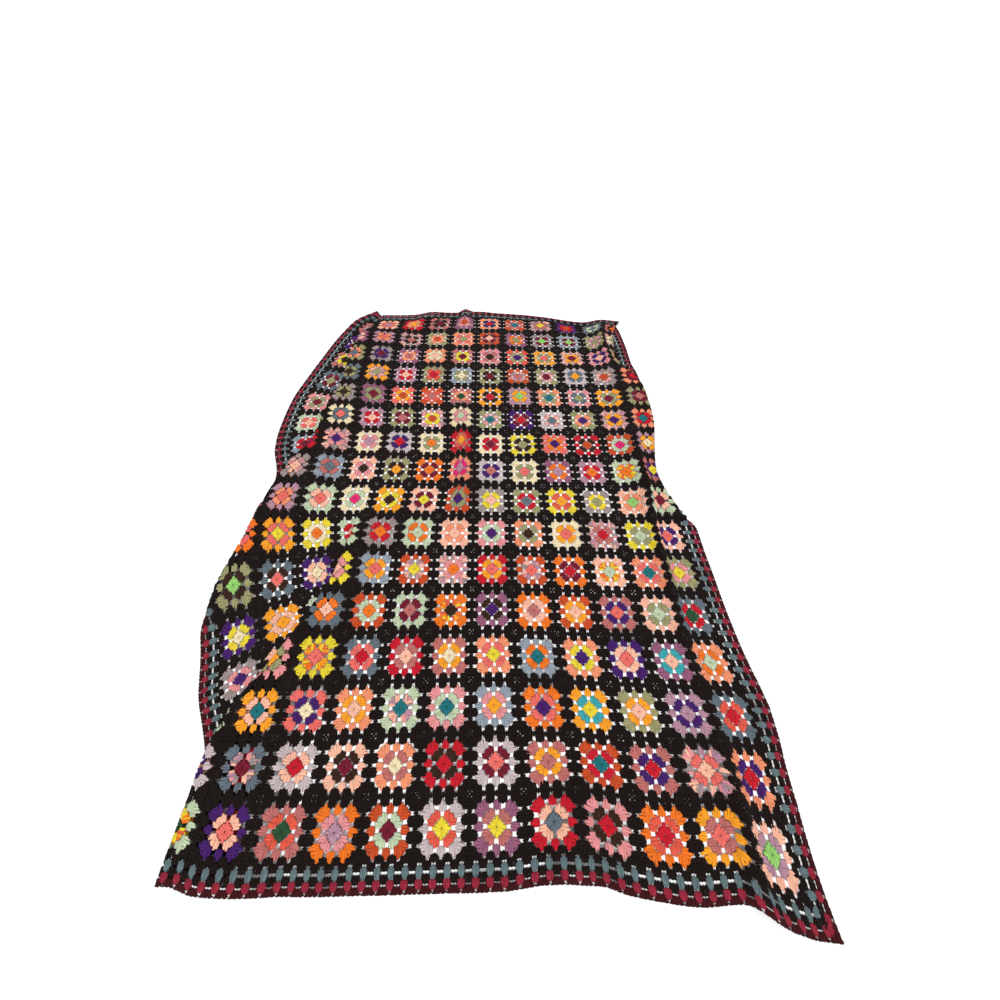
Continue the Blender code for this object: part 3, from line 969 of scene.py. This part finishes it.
class StitchWorks:
    """Geometry Nodes that put a strand of yarn on every place."""

    def __init__(self, yarn: Yarn, material: bpy.types.Material) -> None:
        """Make the two strands and the tree.

        Args:
            yarn: The yarn's sizes.
            material: The material that the strands get.
        """
        self.yarn = yarn
        self.material = material
        low, high = yarn.post_ends
        post_rings = ((low, yarn.post_foot, 1.0), (high, 1.0, yarn.post_head))
        loop_rings = ((0.0, 1.0, 1.0),)
        self.post = StrandShape("post", yarn.post_sides, post_rings, 0.0, 1.0).build()
        self.loop = StrandShape("loop", yarn.loop_sides, loop_rings, -0.5, 0.5).build()
        self.tree = self.build_tree()

    def build_tree(self) -> bpy.types.NodeTree:
        """Build the tree that turns places into strands."""
        tree = bpy.data.node_groups.new("stitch_works", "GeometryNodeTree")
        panel = tree.interface
        panel.new_socket("Geometry", in_out="INPUT", socket_type="NodeSocketGeometry")
        for name, kind in (
            ("Post", "NodeSocketObject"), ("Loop", "NodeSocketObject"),
            ("Unevenness", "NodeSocketFloat"), ("Dip", "NodeSocketFloat"),
            ("Seed", "NodeSocketInt"), ("Yarn", "NodeSocketMaterial"),
        ):
            panel.new_socket(name, in_out="INPUT", socket_type=kind)
        panel.new_socket("Geometry", in_out="OUTPUT", socket_type="NodeSocketGeometry")
        graph = Graph(tree)
        given = graph.node("NodeGroupInput").outputs
        size = self.named(graph, "FLOAT_VECTOR", "size")
        turn = self.named(graph, "FLOAT", "turn")
        kind = self.named(graph, "INT", "kind")
        chance = graph.node(
            "FunctionNodeRandomValue", {"data_type": "FLOAT_VECTOR"},
            {"Min": (-1.0, -1.0, -1.0), "Max": (1.0, 1.0, 1.0), "Seed": given["Seed"]},
        ).outputs["Value"]
        uneven = graph.node(
            "ShaderNodeVectorMath", {"operation": "SCALE"},
            {"Vector": chance, "Scale": given["Unevenness"]},
        ).outputs["Vector"]
        scale = graph.node(
            "ShaderNodeVectorMath", {"operation": "MULTIPLY_ADD"}, {0: size, 1: uneven, 2: size},
        ).outputs["Vector"]
        wobble = graph.node("ShaderNodeSeparateXYZ", sockets={"Vector": uneven}).outputs["X"]
        facing = graph.value(turn) + graph.value(wobble)
        dip = 0.0 - graph.value(given["Dip"])
        angles = graph.node(
            "ShaderNodeCombineXYZ", sockets={"X": dip, "Z": facing},
        ).outputs["Vector"]
        rotation = graph.node("FunctionNodeEulerToRotation", sockets={"Euler": angles}).outputs[0]
        strands = []
        for shape, wanted in (("Post", Kind.POST), ("Loop", Kind.LOOP)):
            chosen = graph.node(
                "FunctionNodeCompare", {"data_type": "INT", "operation": "EQUAL"},
                {2: kind, 3: wanted.value},
            ).outputs["Result"]
            strand = graph.node("GeometryNodeObjectInfo", sockets={"Object": given[shape]})
            strands.append(graph.node("GeometryNodeInstanceOnPoints", sockets={
                "Points": given["Geometry"], "Selection": chosen,
                "Instance": strand.outputs["Geometry"], "Rotation": rotation, "Scale": scale,
            }).outputs["Instances"])
        joined = graph.node("GeometryNodeJoinGeometry")
        for strand in reversed(strands):
            tree.links.new(strand, joined.inputs[0])
        real = graph.node(
            "GeometryNodeRealizeInstances", sockets={"Geometry": joined.outputs["Geometry"]},
        )
        dressed = graph.node("GeometryNodeSetMaterial", sockets={
            "Geometry": real.outputs["Geometry"], "Material": given["Yarn"],
        })
        graph.node("NodeGroupOutput", sockets={"Geometry": dressed.outputs["Geometry"]})
        return tree

    @staticmethod
    def named(graph: Graph, kind: str, name: str) -> bpy.types.NodeSocket:
        """Read an attribute of the places."""
        made = graph.node("GeometryNodeInputNamedAttribute", {"data_type": kind}, {"Name": name})
        return made.outputs["Attribute"]

    def place_mesh(self, name: str, stitches: Stitches, chosen: np.ndarray) -> bpy.types.Mesh:
        """Make a mesh of bare points that carry what each strand needs.

        Args:
            name: Name of the mesh.
            stitches: All the strands.
            chosen: Which of them are wanted.

        Returns:
            The mesh.
        """
        places = np.array(stitches.place)[chosen]
        mesh = bpy.data.meshes.new(name)
        mesh.vertices.add(len(places))
        mesh.vertices.foreach_set("co", places.ravel())
        for key, kind, slot in (
            ("kind", "INT", "value"), ("turn", "FLOAT", "value"),
            ("size", "FLOAT_VECTOR", "vector"), ("dye", "FLOAT_COLOR", "color"),
        ):
            values = np.array(getattr(stitches, key))[chosen]
            mesh.attributes.new(key, kind, "POINT").data.foreach_set(slot, values.ravel())
        return mesh

    def work(self, name: str, stitches: Stitches, chosen: np.ndarray,
             seed: int) -> bpy.types.Object:
        """Work some of the stitches into one flat piece of crochet.

        Args:
            name: Name of the piece.
            stitches: All the strands.
            chosen: Which of them go into this piece.
            seed: Seed of the unevenness.

        Returns:
            The piece, still flat, as a plain mesh.
        """
        holder = bpy.data.objects.new(name, self.place_mesh(name + "_places", stitches, chosen))
        bpy.context.collection.objects.link(holder)
        modifier = holder.modifiers.new("stitches", "NODES")
        modifier.node_group = self.tree
        values = {
            "Post": self.post, "Loop": self.loop, "Unevenness": self.yarn.unevenness,
            "Dip": self.yarn.post_dip, "Seed": seed, "Yarn": self.material,
        }
        for item in self.tree.interface.items_tree:
            if item.in_out == "INPUT" and item.name in values:
                modifier[item.identifier] = values[item.name]
        graph = bpy.context.evaluated_depsgraph_get()
        mesh = bpy.data.meshes.new_from_object(
            holder.evaluated_get(graph), preserve_all_data_layers=True, depsgraph=graph,
        )
        holder.modifiers.remove(modifier)
        holder.data = mesh
        mesh.name = name
        for key in ("kind", "turn", "size"):
            if key in mesh.attributes:
                mesh.attributes.remove(mesh.attributes[key])
        return holder


# ---------------------------------------------------------------- crochet


@dataclass(frozen=True)
class Cluster:
    """A cluster of three posts on a round's side; lengths in squares.

    Attributes:
        foot: Place of its foot along the side.
        foot_out: Distance of its foot from the square's middle.
        top: Places of the three tops along the side.
        top_out: Distance of the tops from the square's middle.
        spread: Distance between two feet.
        width: Width of a post at its top.
        tongue: How much further in the middle foot reaches than the other two.
        lows: How far each top lies in from that distance.
        loop_out: Distance of the loops on the tops from the square's middle.
        loop_width: Width of those loops.
    """

    foot: float
    foot_out: float
    top: tuple[float, float, float]
    top_out: float
    spread: float
    width: float
    tongue: float
    lows: tuple[float, float, float]
    loop_out: float
    loop_width: float

    @property
    def reach(self) -> float:
        """Half the distance between two neighbouring tops."""
        return 0.25 * (self.top[2] - self.top[0])

    def gap_to(self, other: Cluster) -> tuple[float, float]:
        """Where the loop between this cluster and the next one starts and ends."""
        return self.top[2] + self.reach, other.top[0] - other.reach


def side_after(side: int) -> int:
    """Number of the side that a round goes on to at the end of a side."""
    return (side - 1) % SIDES


@dataclass(frozen=True)
class Middle:
    """The middle that a round's four sides run round.

    Attributes:
        column: Its column coordinate.
        row: Its row coordinate.
        turn: Turn of the work, in radians.
        stretch: Size of the work, as a share of its full size.
    """

    column: float
    row: float
    turn: float = 0.0
    stretch: float = 1.0

    def spot(self, side: int, t: float, out: float) -> tuple[float, float]:
        """Turn a place on one side to plan.

        Args:
            side: Number of the side, from 0 at the head anticlockwise to 3.
            t: Place along the side, in squares.
            out: Distance out from the middle, in squares.

        Returns:
            x and y on the flat blanket, in metres.
        """
        p, q = ((t, out), (-out, t), (-t, -out), (out, -t))[side]
        c, s = self.stretch * cos(self.turn), self.stretch * sin(self.turn)
        return (self.column + c * p - s * q) * SQUARE, (s * p + c * q - self.row) * SQUARE


@dataclass
class Crochet:
    """Puts clusters and loops on the flat blanket.

    Attributes:
        yarn: The yarn's sizes.
        stitches: Where the strands are collected.
        chance: Seeded source of small differences in dye.
        tone_spread: How far strands of one dye differ in tone.
        loop_overlap: Length of a loop as a share of the distance between two.
        loop_width: Width of a loop, in squares.
        loop_slant: Slant of a loop across the side, in radians.
        loop_drop: How far the loops lie in from the tops of the posts, in squares.
    """

    yarn: Yarn
    stitches: Stitches = field(default_factory=Stitches)
    chance: np.random.Generator = field(default_factory=lambda: np.random.default_rng(TONE_SEED))
    tone_spread: float = 0.05
    loop_overlap: float = 1.50
    loop_width: float = 0.042
    loop_slant: float = 0.22
    loop_drop: float = 0.014

    def toned(self, dye: Dye) -> tuple[float, ...]:
        """Colour of a dye, a touch lighter or darker."""
        tone = 1.0 + self.tone_spread * self.chance.standard_normal()
        if dye in SPACE_DYED:
            dye = SPACE_DYED[dye][self.chance.integers(len(SPACE_DYED[dye]))]
        return tuple(tone * level for level in dye.colour) + (1.0,)

    def post(self, foot: Sequence[float], top: Sequence[float], width: float, dye: Dye) -> None:
        """Work one post.

        Args:
            foot: x and y of its foot, in metres.
            top: x and y of its top, in metres.
            width: Width at its top, in squares.
            dye: Its dye.
        """
        across, along = top[0] - foot[0], top[1] - foot[1]
        size = (width * SQUARE, hypot(across, along), self.yarn.post_high)
        place = (foot[0], foot[1], self.yarn.post_rise)
        self.stitches.add(Kind.POST, place, atan2(-across, along), size, self.toned(dye))

    def loop(self, start: Sequence[float], end: Sequence[float], width: float, slant: float,
             dye: Dye) -> None:
        """Work one loop between two places.

        Args:
            start: x and y where it starts, in metres.
            end: x and y where it ends, in metres.
            width: Its width, in squares.
            slant: Extra turn, in radians.
            dye: Its dye.
        """
        across, along = end[0] - start[0], end[1] - start[1]
        length = self.loop_overlap * hypot(across, along)
        size = (width * SQUARE, length, self.yarn.loop_high)
        middle = (0.5 * (start[0] + end[0]), 0.5 * (start[1] + end[1]), self.yarn.loop_rise)
        turn = atan2(-across, along) + slant
        self.stitches.add(Kind.LOOP, middle, turn, size, self.toned(dye))

    def cluster(self, middle: Middle, side: int, work: Cluster, dye: Dye) -> None:
        """Work three posts and the loops on their tops.

        Args:
            middle: What the side runs round.
            side: Number of the side.
            work: The cluster's places.
            dye: Its dye.
        """
        for k, (t, low) in enumerate(zip(work.top, work.lows)):
            foot_out = work.foot_out + abs(k - 1) * work.tongue
            foot = middle.spot(side, work.foot + (k - 1) * work.spread, foot_out)
            self.post(foot, middle.spot(side, t, work.top_out - low), work.width, dye)
            span = (t - work.reach, t + work.reach)
            self.top_loop(middle, side, span, low, work, dye)

    def top_loop(self, middle: Middle, side: int, span: Sequence[float], lower: float,
                 work: Cluster, dye: Dye) -> None:
        """Work one loop along the top of a round.

        Args:
            middle: What the side runs round.
            side: Number of the side.
            span: Where it starts and ends along the side.
            lower: How far it lies in from the cluster's other loops.
            work: The cluster whose tops it is level with.
            dye: Its dye.
        """
        start, end = (middle.spot(side, t, work.loop_out - lower) for t in span)
        self.loop(start, end, work.loop_width, self.loop_slant, dye)


@dataclass
class GrannySquare:
    """One square: four rounds of clusters worked outwards; lengths in squares.

    Attributes:
        tops: Distance of each round's tops from the middle.
        feet: Distance of each round's feet from the middle.
        corner_feet: Place of each round's corner feet along the side and out from the middle.
        crowns: How much further out a cluster's middle top reaches, in each round.
        corner_cuts: How much further in a corner cluster's outer top lies, in each round.
        tongues: How much further in its middle foot reaches, in each round.
        foot_spreads: Distance between two feet of a cluster, in each round.
        top_spreads: Distance between two tops of a cluster, in each round.
        pitch: Distance between neighbouring clusters.
        corner_lean: How far the last round's corner tops lean out along the side.
        widths: Width of a post at its top, in each round.
        chain_width: Width of the chain that goes round a coloured corner.
        ring: Radius of the ring in the middle.
        ring_loops: Number of loops in that ring.
        seam_out: Distance of the last round's loops from the middle.
        seam_width: Width of those loops, which the joins are worked through.
        gap_share: Width of the loops between clusters, as a share of that width.
        corner_share: Width of the loops round the corners, as a share of that width.
        corner_slack: How much that share differs from loop to loop.
        open_top: Distance of the last round's tops where the border is worked on.
        open_loops: Distance of the loops there.
        open_width: Width of the loops there.
        askew: How far the coloured rounds stray across, along, in turn (radians) and in size.
    """

    tops: tuple[float, ...] = (0.168, 0.270, 0.414, 0.488)
    feet: tuple[float, ...] = (0.015, 0.100, 0.236, 0.334)
    corner_feet: tuple[tuple[float, float], ...] = (
        (0.000, 0.015), (0.095, 0.100), (0.204, 0.209), (0.358, 0.342),
    )
    crowns: tuple[float, ...] = (0.054, 0.018, 0.022, 0.000)
    corner_cuts: tuple[float, ...] = (0.000, 0.034, 0.022, 0.000)
    tongues: tuple[float, ...] = (0.000, 0.030, 0.012, 0.014)
    foot_spreads: tuple[float, ...] = (0.022, 0.044, 0.042, 0.050)
    top_spreads: tuple[float, ...] = (0.056, 0.047, 0.048, 0.063)
    pitch: float = 0.235
    corner_lean: tuple[float, float, float] = (0.000, 0.002, 0.004)
    widths: tuple[float, ...] = (0.074, 0.061, 0.061, 0.070)
    chain_width: float = 0.060
    ring: float = 0.030
    ring_loops: int = 6
    seam_out: float = 0.489
    seam_width: float = 0.070
    gap_share: float = 1.45
    corner_share: float = 0.85
    corner_slack: float = 0.30
    open_top: float = 0.468
    open_loops: float = 0.458
    open_width: float = 0.028
    askew: tuple[float, float, float, float] = (0.006, 0.006, 0.035, 0.018)

    def foot_of(self, number: int, j: int) -> tuple[float, float]:
        """Find where cluster j of a round is worked into.

        Args:
            number: Number of the round, from 1.
            j: Number of the cluster on its side, from 0.

        Returns:
            Place of its foot along the side, and distance from the middle.
        """
        corner, corner_out = self.corner_feet[number - 1]
        if j == 0:
            return -corner, corner_out
        if j == number - 1:
            return corner, corner_out
        return (j - 0.5 * (number - 1)) * self.pitch, self.feet[number - 1]

    def work(self, crochet: Crochet, place: Middle, dyes: Sequence[Dye], outer: set[int]) -> None:
        """Work the whole square; by hand, so that the coloured rounds sit a little askew.

        Args:
            crochet: Where it is worked.
            place: Its middle.
            dyes: Dye of each round.
            outer: Numbers of the sides that the border is worked on.
        """
        column, row, turn, stretch = crochet.chance.normal(0.0, self.askew)
        inner = Middle(place.column + column, place.row + row, turn, 1.0 + stretch)
        angles = [2.0 * pi * k / self.ring_loops for k in range(self.ring_loops + 1)]
        ring = [inner.spot(0, self.ring * cos(angle), self.ring * sin(angle)) for angle in angles]
        for start, end in zip(ring, ring[1:]):
            crochet.loop(start, end, crochet.loop_width, 0.0, dyes[0])
        for number, dye in enumerate(dyes, start=1):
            middle = place if number == len(dyes) else inner
            for side in range(SIDES):
                self.work_side(crochet, middle, side, number, dye, side in outer)

    def work_side(self, crochet: Crochet, middle: Middle, side: int, number: int, dye: Dye,
                  is_outer: bool) -> None:
        """Work one side of one round.

        Args:
            crochet: Where it is worked.
            middle: The square's middle.
            side: Number of the side.
            number: Number of the round, from 1.
            dye: Dye of the round.
            is_outer: Whether the border is worked on this side.
        """
        out, loop_width = self.tops[number - 1], crochet.loop_width
        loop_out = out - crochet.loop_drop
        last = number == len(self.tops)
        if last:
            loop_out, loop_width = self.seam_out, self.seam_width
            if is_outer:
                out, loop_out, loop_width = self.open_top, self.open_loops, self.open_width
        clusters = []
        for j in range(number):
            above = (j - 0.5 * (number - 1)) * self.pitch
            foot, foot_out = self.foot_of(number, j)
            spread = self.top_spreads[number - 1]
            tops = [above + step * spread for step in (-1.0, 0.0, 1.0)]
            lows = [self.crowns[number - 1], 0.0, self.crowns[number - 1]]
            if number > 1 and j in (0, number - 1):
                lean = 1 if j else -1
                lows[1 + lean] += self.corner_cuts[number - 1]
                if last:
                    tops = [t + lean * s for t, s in zip(tops, self.corner_lean[::lean])]
            work = Cluster(
                foot, foot_out, tuple(tops), out, self.foot_spreads[number - 1],
                self.widths[number - 1], self.tongues[number - 1], tuple(lows),
                loop_out, loop_width,
            )
            crochet.cluster(middle, side, work, dye)
            clusters.append(work)
        if last:
            self.close_side(crochet, middle, side, clusters, dye)
        elif number > 1:
            t, out = clusters[-1].top[2], loop_out - clusters[-1].lows[2]
            start, end = middle.spot(side, t, out), middle.spot(side_after(side), -t, out)
            crochet.loop(start, end, self.chain_width, 0.0, dye)

    def close_side(self, crochet: Crochet, middle: Middle, side: int,
                   clusters: Sequence[Cluster], dye: Dye) -> None:
        """Work the loops between the last round's clusters and round the corner.

        Args:
            crochet: Where it is worked.
            middle: The square's middle.
            side: Number of the side.
            clusters: The side's clusters.
            dye: Dye of the round.
        """
        for one, other in zip(clusters, clusters[1:]):
            before, after = (middle.spot(side, t, one.loop_out) for t in one.gap_to(other))
            crochet.loop(before, after, self.gap_share * one.loop_width, 0.0, dye)
        end = clusters[-1]
        far = end.top[2] + end.reach
        corner = middle.spot(side, end.loop_out, end.loop_out)
        before = middle.spot(side, far, end.loop_out)
        after = middle.spot(side_after(side), -far, end.loop_out)
        for start, stop in ((before, corner), (corner, after)):
            share = self.corner_share + self.corner_slack * crochet.chance.uniform(-1.0, 1.0)
            crochet.loop(start, stop, share * end.loop_width, 0.0, dye)


@dataclass(frozen=True)
class BorderRound:
    """One round of the border; lengths in squares from the edge of the squares.

    Attributes:
        dye: Its dye.
        foot: Distance of its feet from the squares.
        top: Distance of its tops from the squares.
        foot_spread: Distance between two feet of a cluster.
        top_spread: Distance between two tops of a cluster.
        width: Width of a post at its top.
        point: How much further the middle post reaches than the other two, at either end.
        shift: Place of its first cluster after the corner, along the side.
        corner: Place of its corner cluster, along the side.
        chained: Whether loops join its clusters.
    """

    dye: Dye
    foot: float
    top: float
    foot_spread: float
    top_spread: float
    width: float
    point: float
    shift: float
    corner: float
    chained: bool = False


@dataclass
class Border:
    """Rounds of clusters right round the squares; lengths in squares.

    Attributes:
        pitch: Distance between neighbouring clusters.
        rounds: The rounds, from the squares outwards.
    """

    pitch: float = 0.25
    rounds: tuple[BorderRound, ...] = (
        BorderRound(Dye.BLACK, -0.070, 0.068, 0.052, 0.062, 0.068, 0.000, 0.250, 0.060),
        BorderRound(Dye.BORDER_BLUE, -0.018, 0.180, 0.037, 0.040, 0.062, 0.028, 0.125, -0.050),
        BorderRound(Dye.BLACK, 0.100, 0.238, 0.052, 0.060, 0.066, 0.000, 0.000, -0.150),
        BorderRound(Dye.CRIMSON, 0.166, 0.320, 0.042, 0.044, 0.064, 0.014, -0.125, -0.234),
        BorderRound(Dye.MAROON, 0.254, 0.366, 0.040, 0.080, 0.078, 0.000, 0.000, -0.252, True),
    )

    def work(self, crochet: Crochet) -> None:
        """Work all rounds on all four sides."""
        middle = Middle(0.5 * (COLUMNS + 1), 0.5 * (ROWS + 1))
        for side in range(SIDES):
            long, out = (COLUMNS, ROWS) if side % 2 == 0 else (ROWS, COLUMNS)
            for work in self.rounds:
                self.work_side(crochet, middle, side, work, 0.5 * long, 0.5 * out)

    def work_side(self, crochet: Crochet, middle: Middle, side: int, work: BorderRound,
                  half: float, out: float) -> None:
        """Work one side of one round.

        Args:
            crochet: Where it is worked.
            middle: The blanket's middle.
            side: Number of the side.
            work: The round.
            half: Half the side's length.
            out: Distance of the squares' edge from the middle.
        """
        count = round((2.0 * half - 2.0 * work.shift) / self.pitch)
        places = [work.shift - half + k * self.pitch for k in range(count + 1)]
        places = [work.corner - half, *places, half - work.corner]
        clusters = []
        for place in places:
            tops = (place - work.top_spread, place, place + work.top_spread)
            cluster = Cluster(
                place, out + work.foot, tops, out + work.top, work.foot_spread, work.width,
                work.point, (work.point, 0.0, work.point), out + work.top - crochet.loop_drop,
                crochet.loop_width,
            )
            crochet.cluster(middle, side, cluster, work.dye)
            clusters.append(cluster)
        if work.chained:
            for one, other in zip(clusters, clusters[1:]):
                crochet.top_loop(middle, side, one.gap_to(other), 0.0, one, work.dye)


@dataclass
class Blanket:
    """The whole blanket: squares, joins and border, in bands of two rows of squares."""

    yarn: Yarn
    lying: LaidSheet
    finish: WoolFinish
    square: GrannySquare = field(default_factory=GrannySquare)
    border: Border = field(default_factory=Border)

    def choose_dyes(self) -> list[list[tuple[Dye, Dye, Dye]]]:
        """Pick three dyes for each square, so that neighbours and rounds differ.

        Returns:
            The dyes by row and column.
        """
        chance = np.random.default_rng(DYE_SEED)
        picked: list[list[tuple[Dye, Dye, Dye]]] = []
        for row in range(ROWS):
            batch = next(batch for batch in BATCHES if row < batch.last_row)
            line: list[tuple[Dye, Dye, Dye]] = []
            for column in range(COLUMNS):
                beside = {line[-1][2]} if line else set()
                above = {picked[-1][column][2]} if picked else set()
                third = self.pick(chance, Round.THIRD, batch, beside | above)
                second = self.pick(chance, Round.SECOND, batch, {third})
                first = self.pick(chance, Round.FIRST, batch, {second})
                line.append((first, second, third))
            picked.append(line)
        return picked

    @staticmethod
    def pick(chance: np.random.Generator, table: Round, batch: Batch, without: set[Dye]) -> Dye:
        """Pick a dye for a round.

        Args:
            chance: Seeded source of chance.
            table: The round, with how often it has each dye.
            batch: The basket that the dye comes out of.
            without: Dyes that it may not have.

        Returns:
            The dye.
        """
        dyes = [dye for dye in table.value if dye not in without]
        shares = np.array([
            table.value[dye] * (batch.favour if dye in batch.favoured else 1.0) for dye in dyes
        ])
        return dyes[chance.choice(len(dyes), p=shares / shares.sum())]

    def build(self) -> list[bpy.types.Object]:
        """Work the blanket, lay it down and attach its pieces to their body.

        Returns:
            The pieces.
        """
        crochet = Crochet(self.yarn)
        for row, line in enumerate(self.choose_dyes(), start=1):
            for column, dyes in enumerate(line, start=1):
                outer = {side for side, at_edge in enumerate(
                    (row == 1, column == 1, row == ROWS, column == COLUMNS),
                ) if at_edge}
                self.square.work(crochet, Middle(column, row), (*dyes, Dye.BLACK), outer)
        self.border.work(crochet)
        works = StitchWorks(self.yarn, self.finish.build())
        rows = -np.array(crochet.stitches.place)[:, 1] / SQUARE
        bands = ROWS // ROWS_A_BAND
        band_of = np.clip(((rows - 0.5) / ROWS_A_BAND).astype(int), 0, bands - 1)
        pieces = []
        for band in range(bands):
            name = f"band_{band + 1}"
            piece = works.work(name, crochet.stitches, band_of == band, band)
            self.lay_down(piece)
            self.declare(piece)
            pieces.append(piece)
            LOG.info("%s: %d faces", name, len(piece.data.polygons))
        return pieces

    def lay_down(self, piece: bpy.types.Object) -> None:
        """Give a flat piece its flat map, then lay it down as the blanket lies."""
        mesh = piece.data
        flat = np.empty(3 * len(mesh.vertices))
        mesh.vertices.foreach_get("co", flat)
        flat = flat.reshape(-1, 3)
        corners = np.empty(len(mesh.loops), dtype=np.int32)
        mesh.loops.foreach_get("vertex_index", corners)
        low, high = flat[:, :2].min(axis=0), flat[:, :2].max(axis=0)
        places = ((flat[:, :2] - low) / (high - low))[corners]
        mesh.uv_layers.new(name="OFBake").data.foreach_set("uv", places.ravel())
        mesh.vertices.foreach_set("co", self.lying.wrap(flat).ravel())
        mesh.update()

    def declare(self, piece: bpy.types.Object) -> None:
        """Attach the piece to its body and hide the solid that it stands for.

        Args:
            piece: The piece.
        """
        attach(piece, BODY)
        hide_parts(NODE)


# ---------------------------------------------------------------- studio


@dataclass(frozen=True)
class Viewpoint:
    """Where the blanket is seen from."""

    place: tuple[float, float, float] = (0.0807, -0.5567, 0.909)
    angles: tuple[float, float, float] = (30.696, 0.715, -1.204)    # in degrees
    lens: float = 13.54         # in millimetres
    sensor: float = 36.0        # in millimetres
    near: float = 0.01
    far: float = 50.0

    def build(self) -> None:
        """Set up the camera."""
        data = bpy.data.cameras.new("camera")
        data.lens, data.sensor_width, data.sensor_fit = self.lens, self.sensor, "HORIZONTAL"
        data.clip_start, data.clip_end = self.near, self.far
        camera = bpy.data.objects.new("camera", data)
        camera.location = self.place
        camera.rotation_euler = [radians(angle) for angle in self.angles]
        bpy.context.collection.objects.link(camera)
        bpy.context.scene.camera = camera


@dataclass(frozen=True)
class BroadLight:
    """A broad, far light, soft and the same all over the floor.

    Attributes:
        name: Its name.
        angles: Tilt from overhead and direction that it comes from, in degrees.
        spread: Angle that it fills, in degrees.
        strength: Its strength, in watts a square metre.
    """

    name: str
    angles: tuple[float, float]
    spread: float
    strength: float

    def build(self) -> None:
        """Set up the light."""
        data = bpy.data.lights.new(self.name, "SUN")
        data.angle, data.energy = radians(self.spread), self.strength
        light = bpy.data.objects.new(self.name, data)
        tilt, bearing = (radians(angle) for angle in self.angles)
        light.rotation_euler = (tilt, 0.0, bearing)
        bpy.context.collection.objects.link(light)


@dataclass(frozen=True)
class Studio:
    """Plain pale floor and plain soft light."""

    floor_size: float = 30.0
    floor_colour: tuple[float, float, float, float] = (0.90, 0.90, 0.90, 1.0)
    floor_roughness: float = 0.9
    sky: tuple[float, float, float, float] = (1.0, 1.0, 1.0, 1.0)
    sky_strength: float = 0.80
    lights: tuple[BroadLight, ...] = (
        BroadLight("key", (30.0, -25.0), 26.0, 1.75),
        BroadLight("fill", (50.0, 120.0), 60.0, 0.58),
    )

    def build(self) -> None:
        """Set up the floor, the lights and the sky."""
        half = 0.5 * self.floor_size
        mesh = bpy.data.meshes.new("floor")
        corners = [(-half, -half, 0.0), (half, -half, 0.0), (half, half, 0.0), (-half, half, 0.0)]
        mesh.from_pydata(corners, [], [(0, 1, 2, 3)])
        floor = bpy.data.objects.new("floor", mesh)
        bpy.context.collection.objects.link(floor)
        material = bpy.data.materials.new("floor_paper")
        material.use_nodes = True
        shader = material.node_tree.nodes["Principled BSDF"]
        shader.inputs["Base Color"].default_value = self.floor_colour
        shader.inputs["Roughness"].default_value = self.floor_roughness
        shader.inputs["Specular IOR Level"].default_value = 0.0
        mesh.materials.append(material)
        world = bpy.data.worlds.new("studio")
        world.use_nodes = True
        background = world.node_tree.nodes["Background"]
        background.inputs["Color"].default_value = self.sky
        background.inputs["Strength"].default_value = self.sky_strength
        bpy.context.scene.world = world
        for light in self.lights:
            light.build()
        bpy.context.scene.view_settings.view_transform = "Standard"


def main() -> None:
    """Build the scene."""
    logging.basicConfig(level=logging.INFO, format="%(message)s")
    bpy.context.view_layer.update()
    Viewpoint().build()
    Studio().build()
    pieces = Blanket(Yarn(), LaidSheet(), WoolFinish("wool")).build()
    LOG.info("%d pieces", len(pieces))


if __name__ == "__main__":
    main()
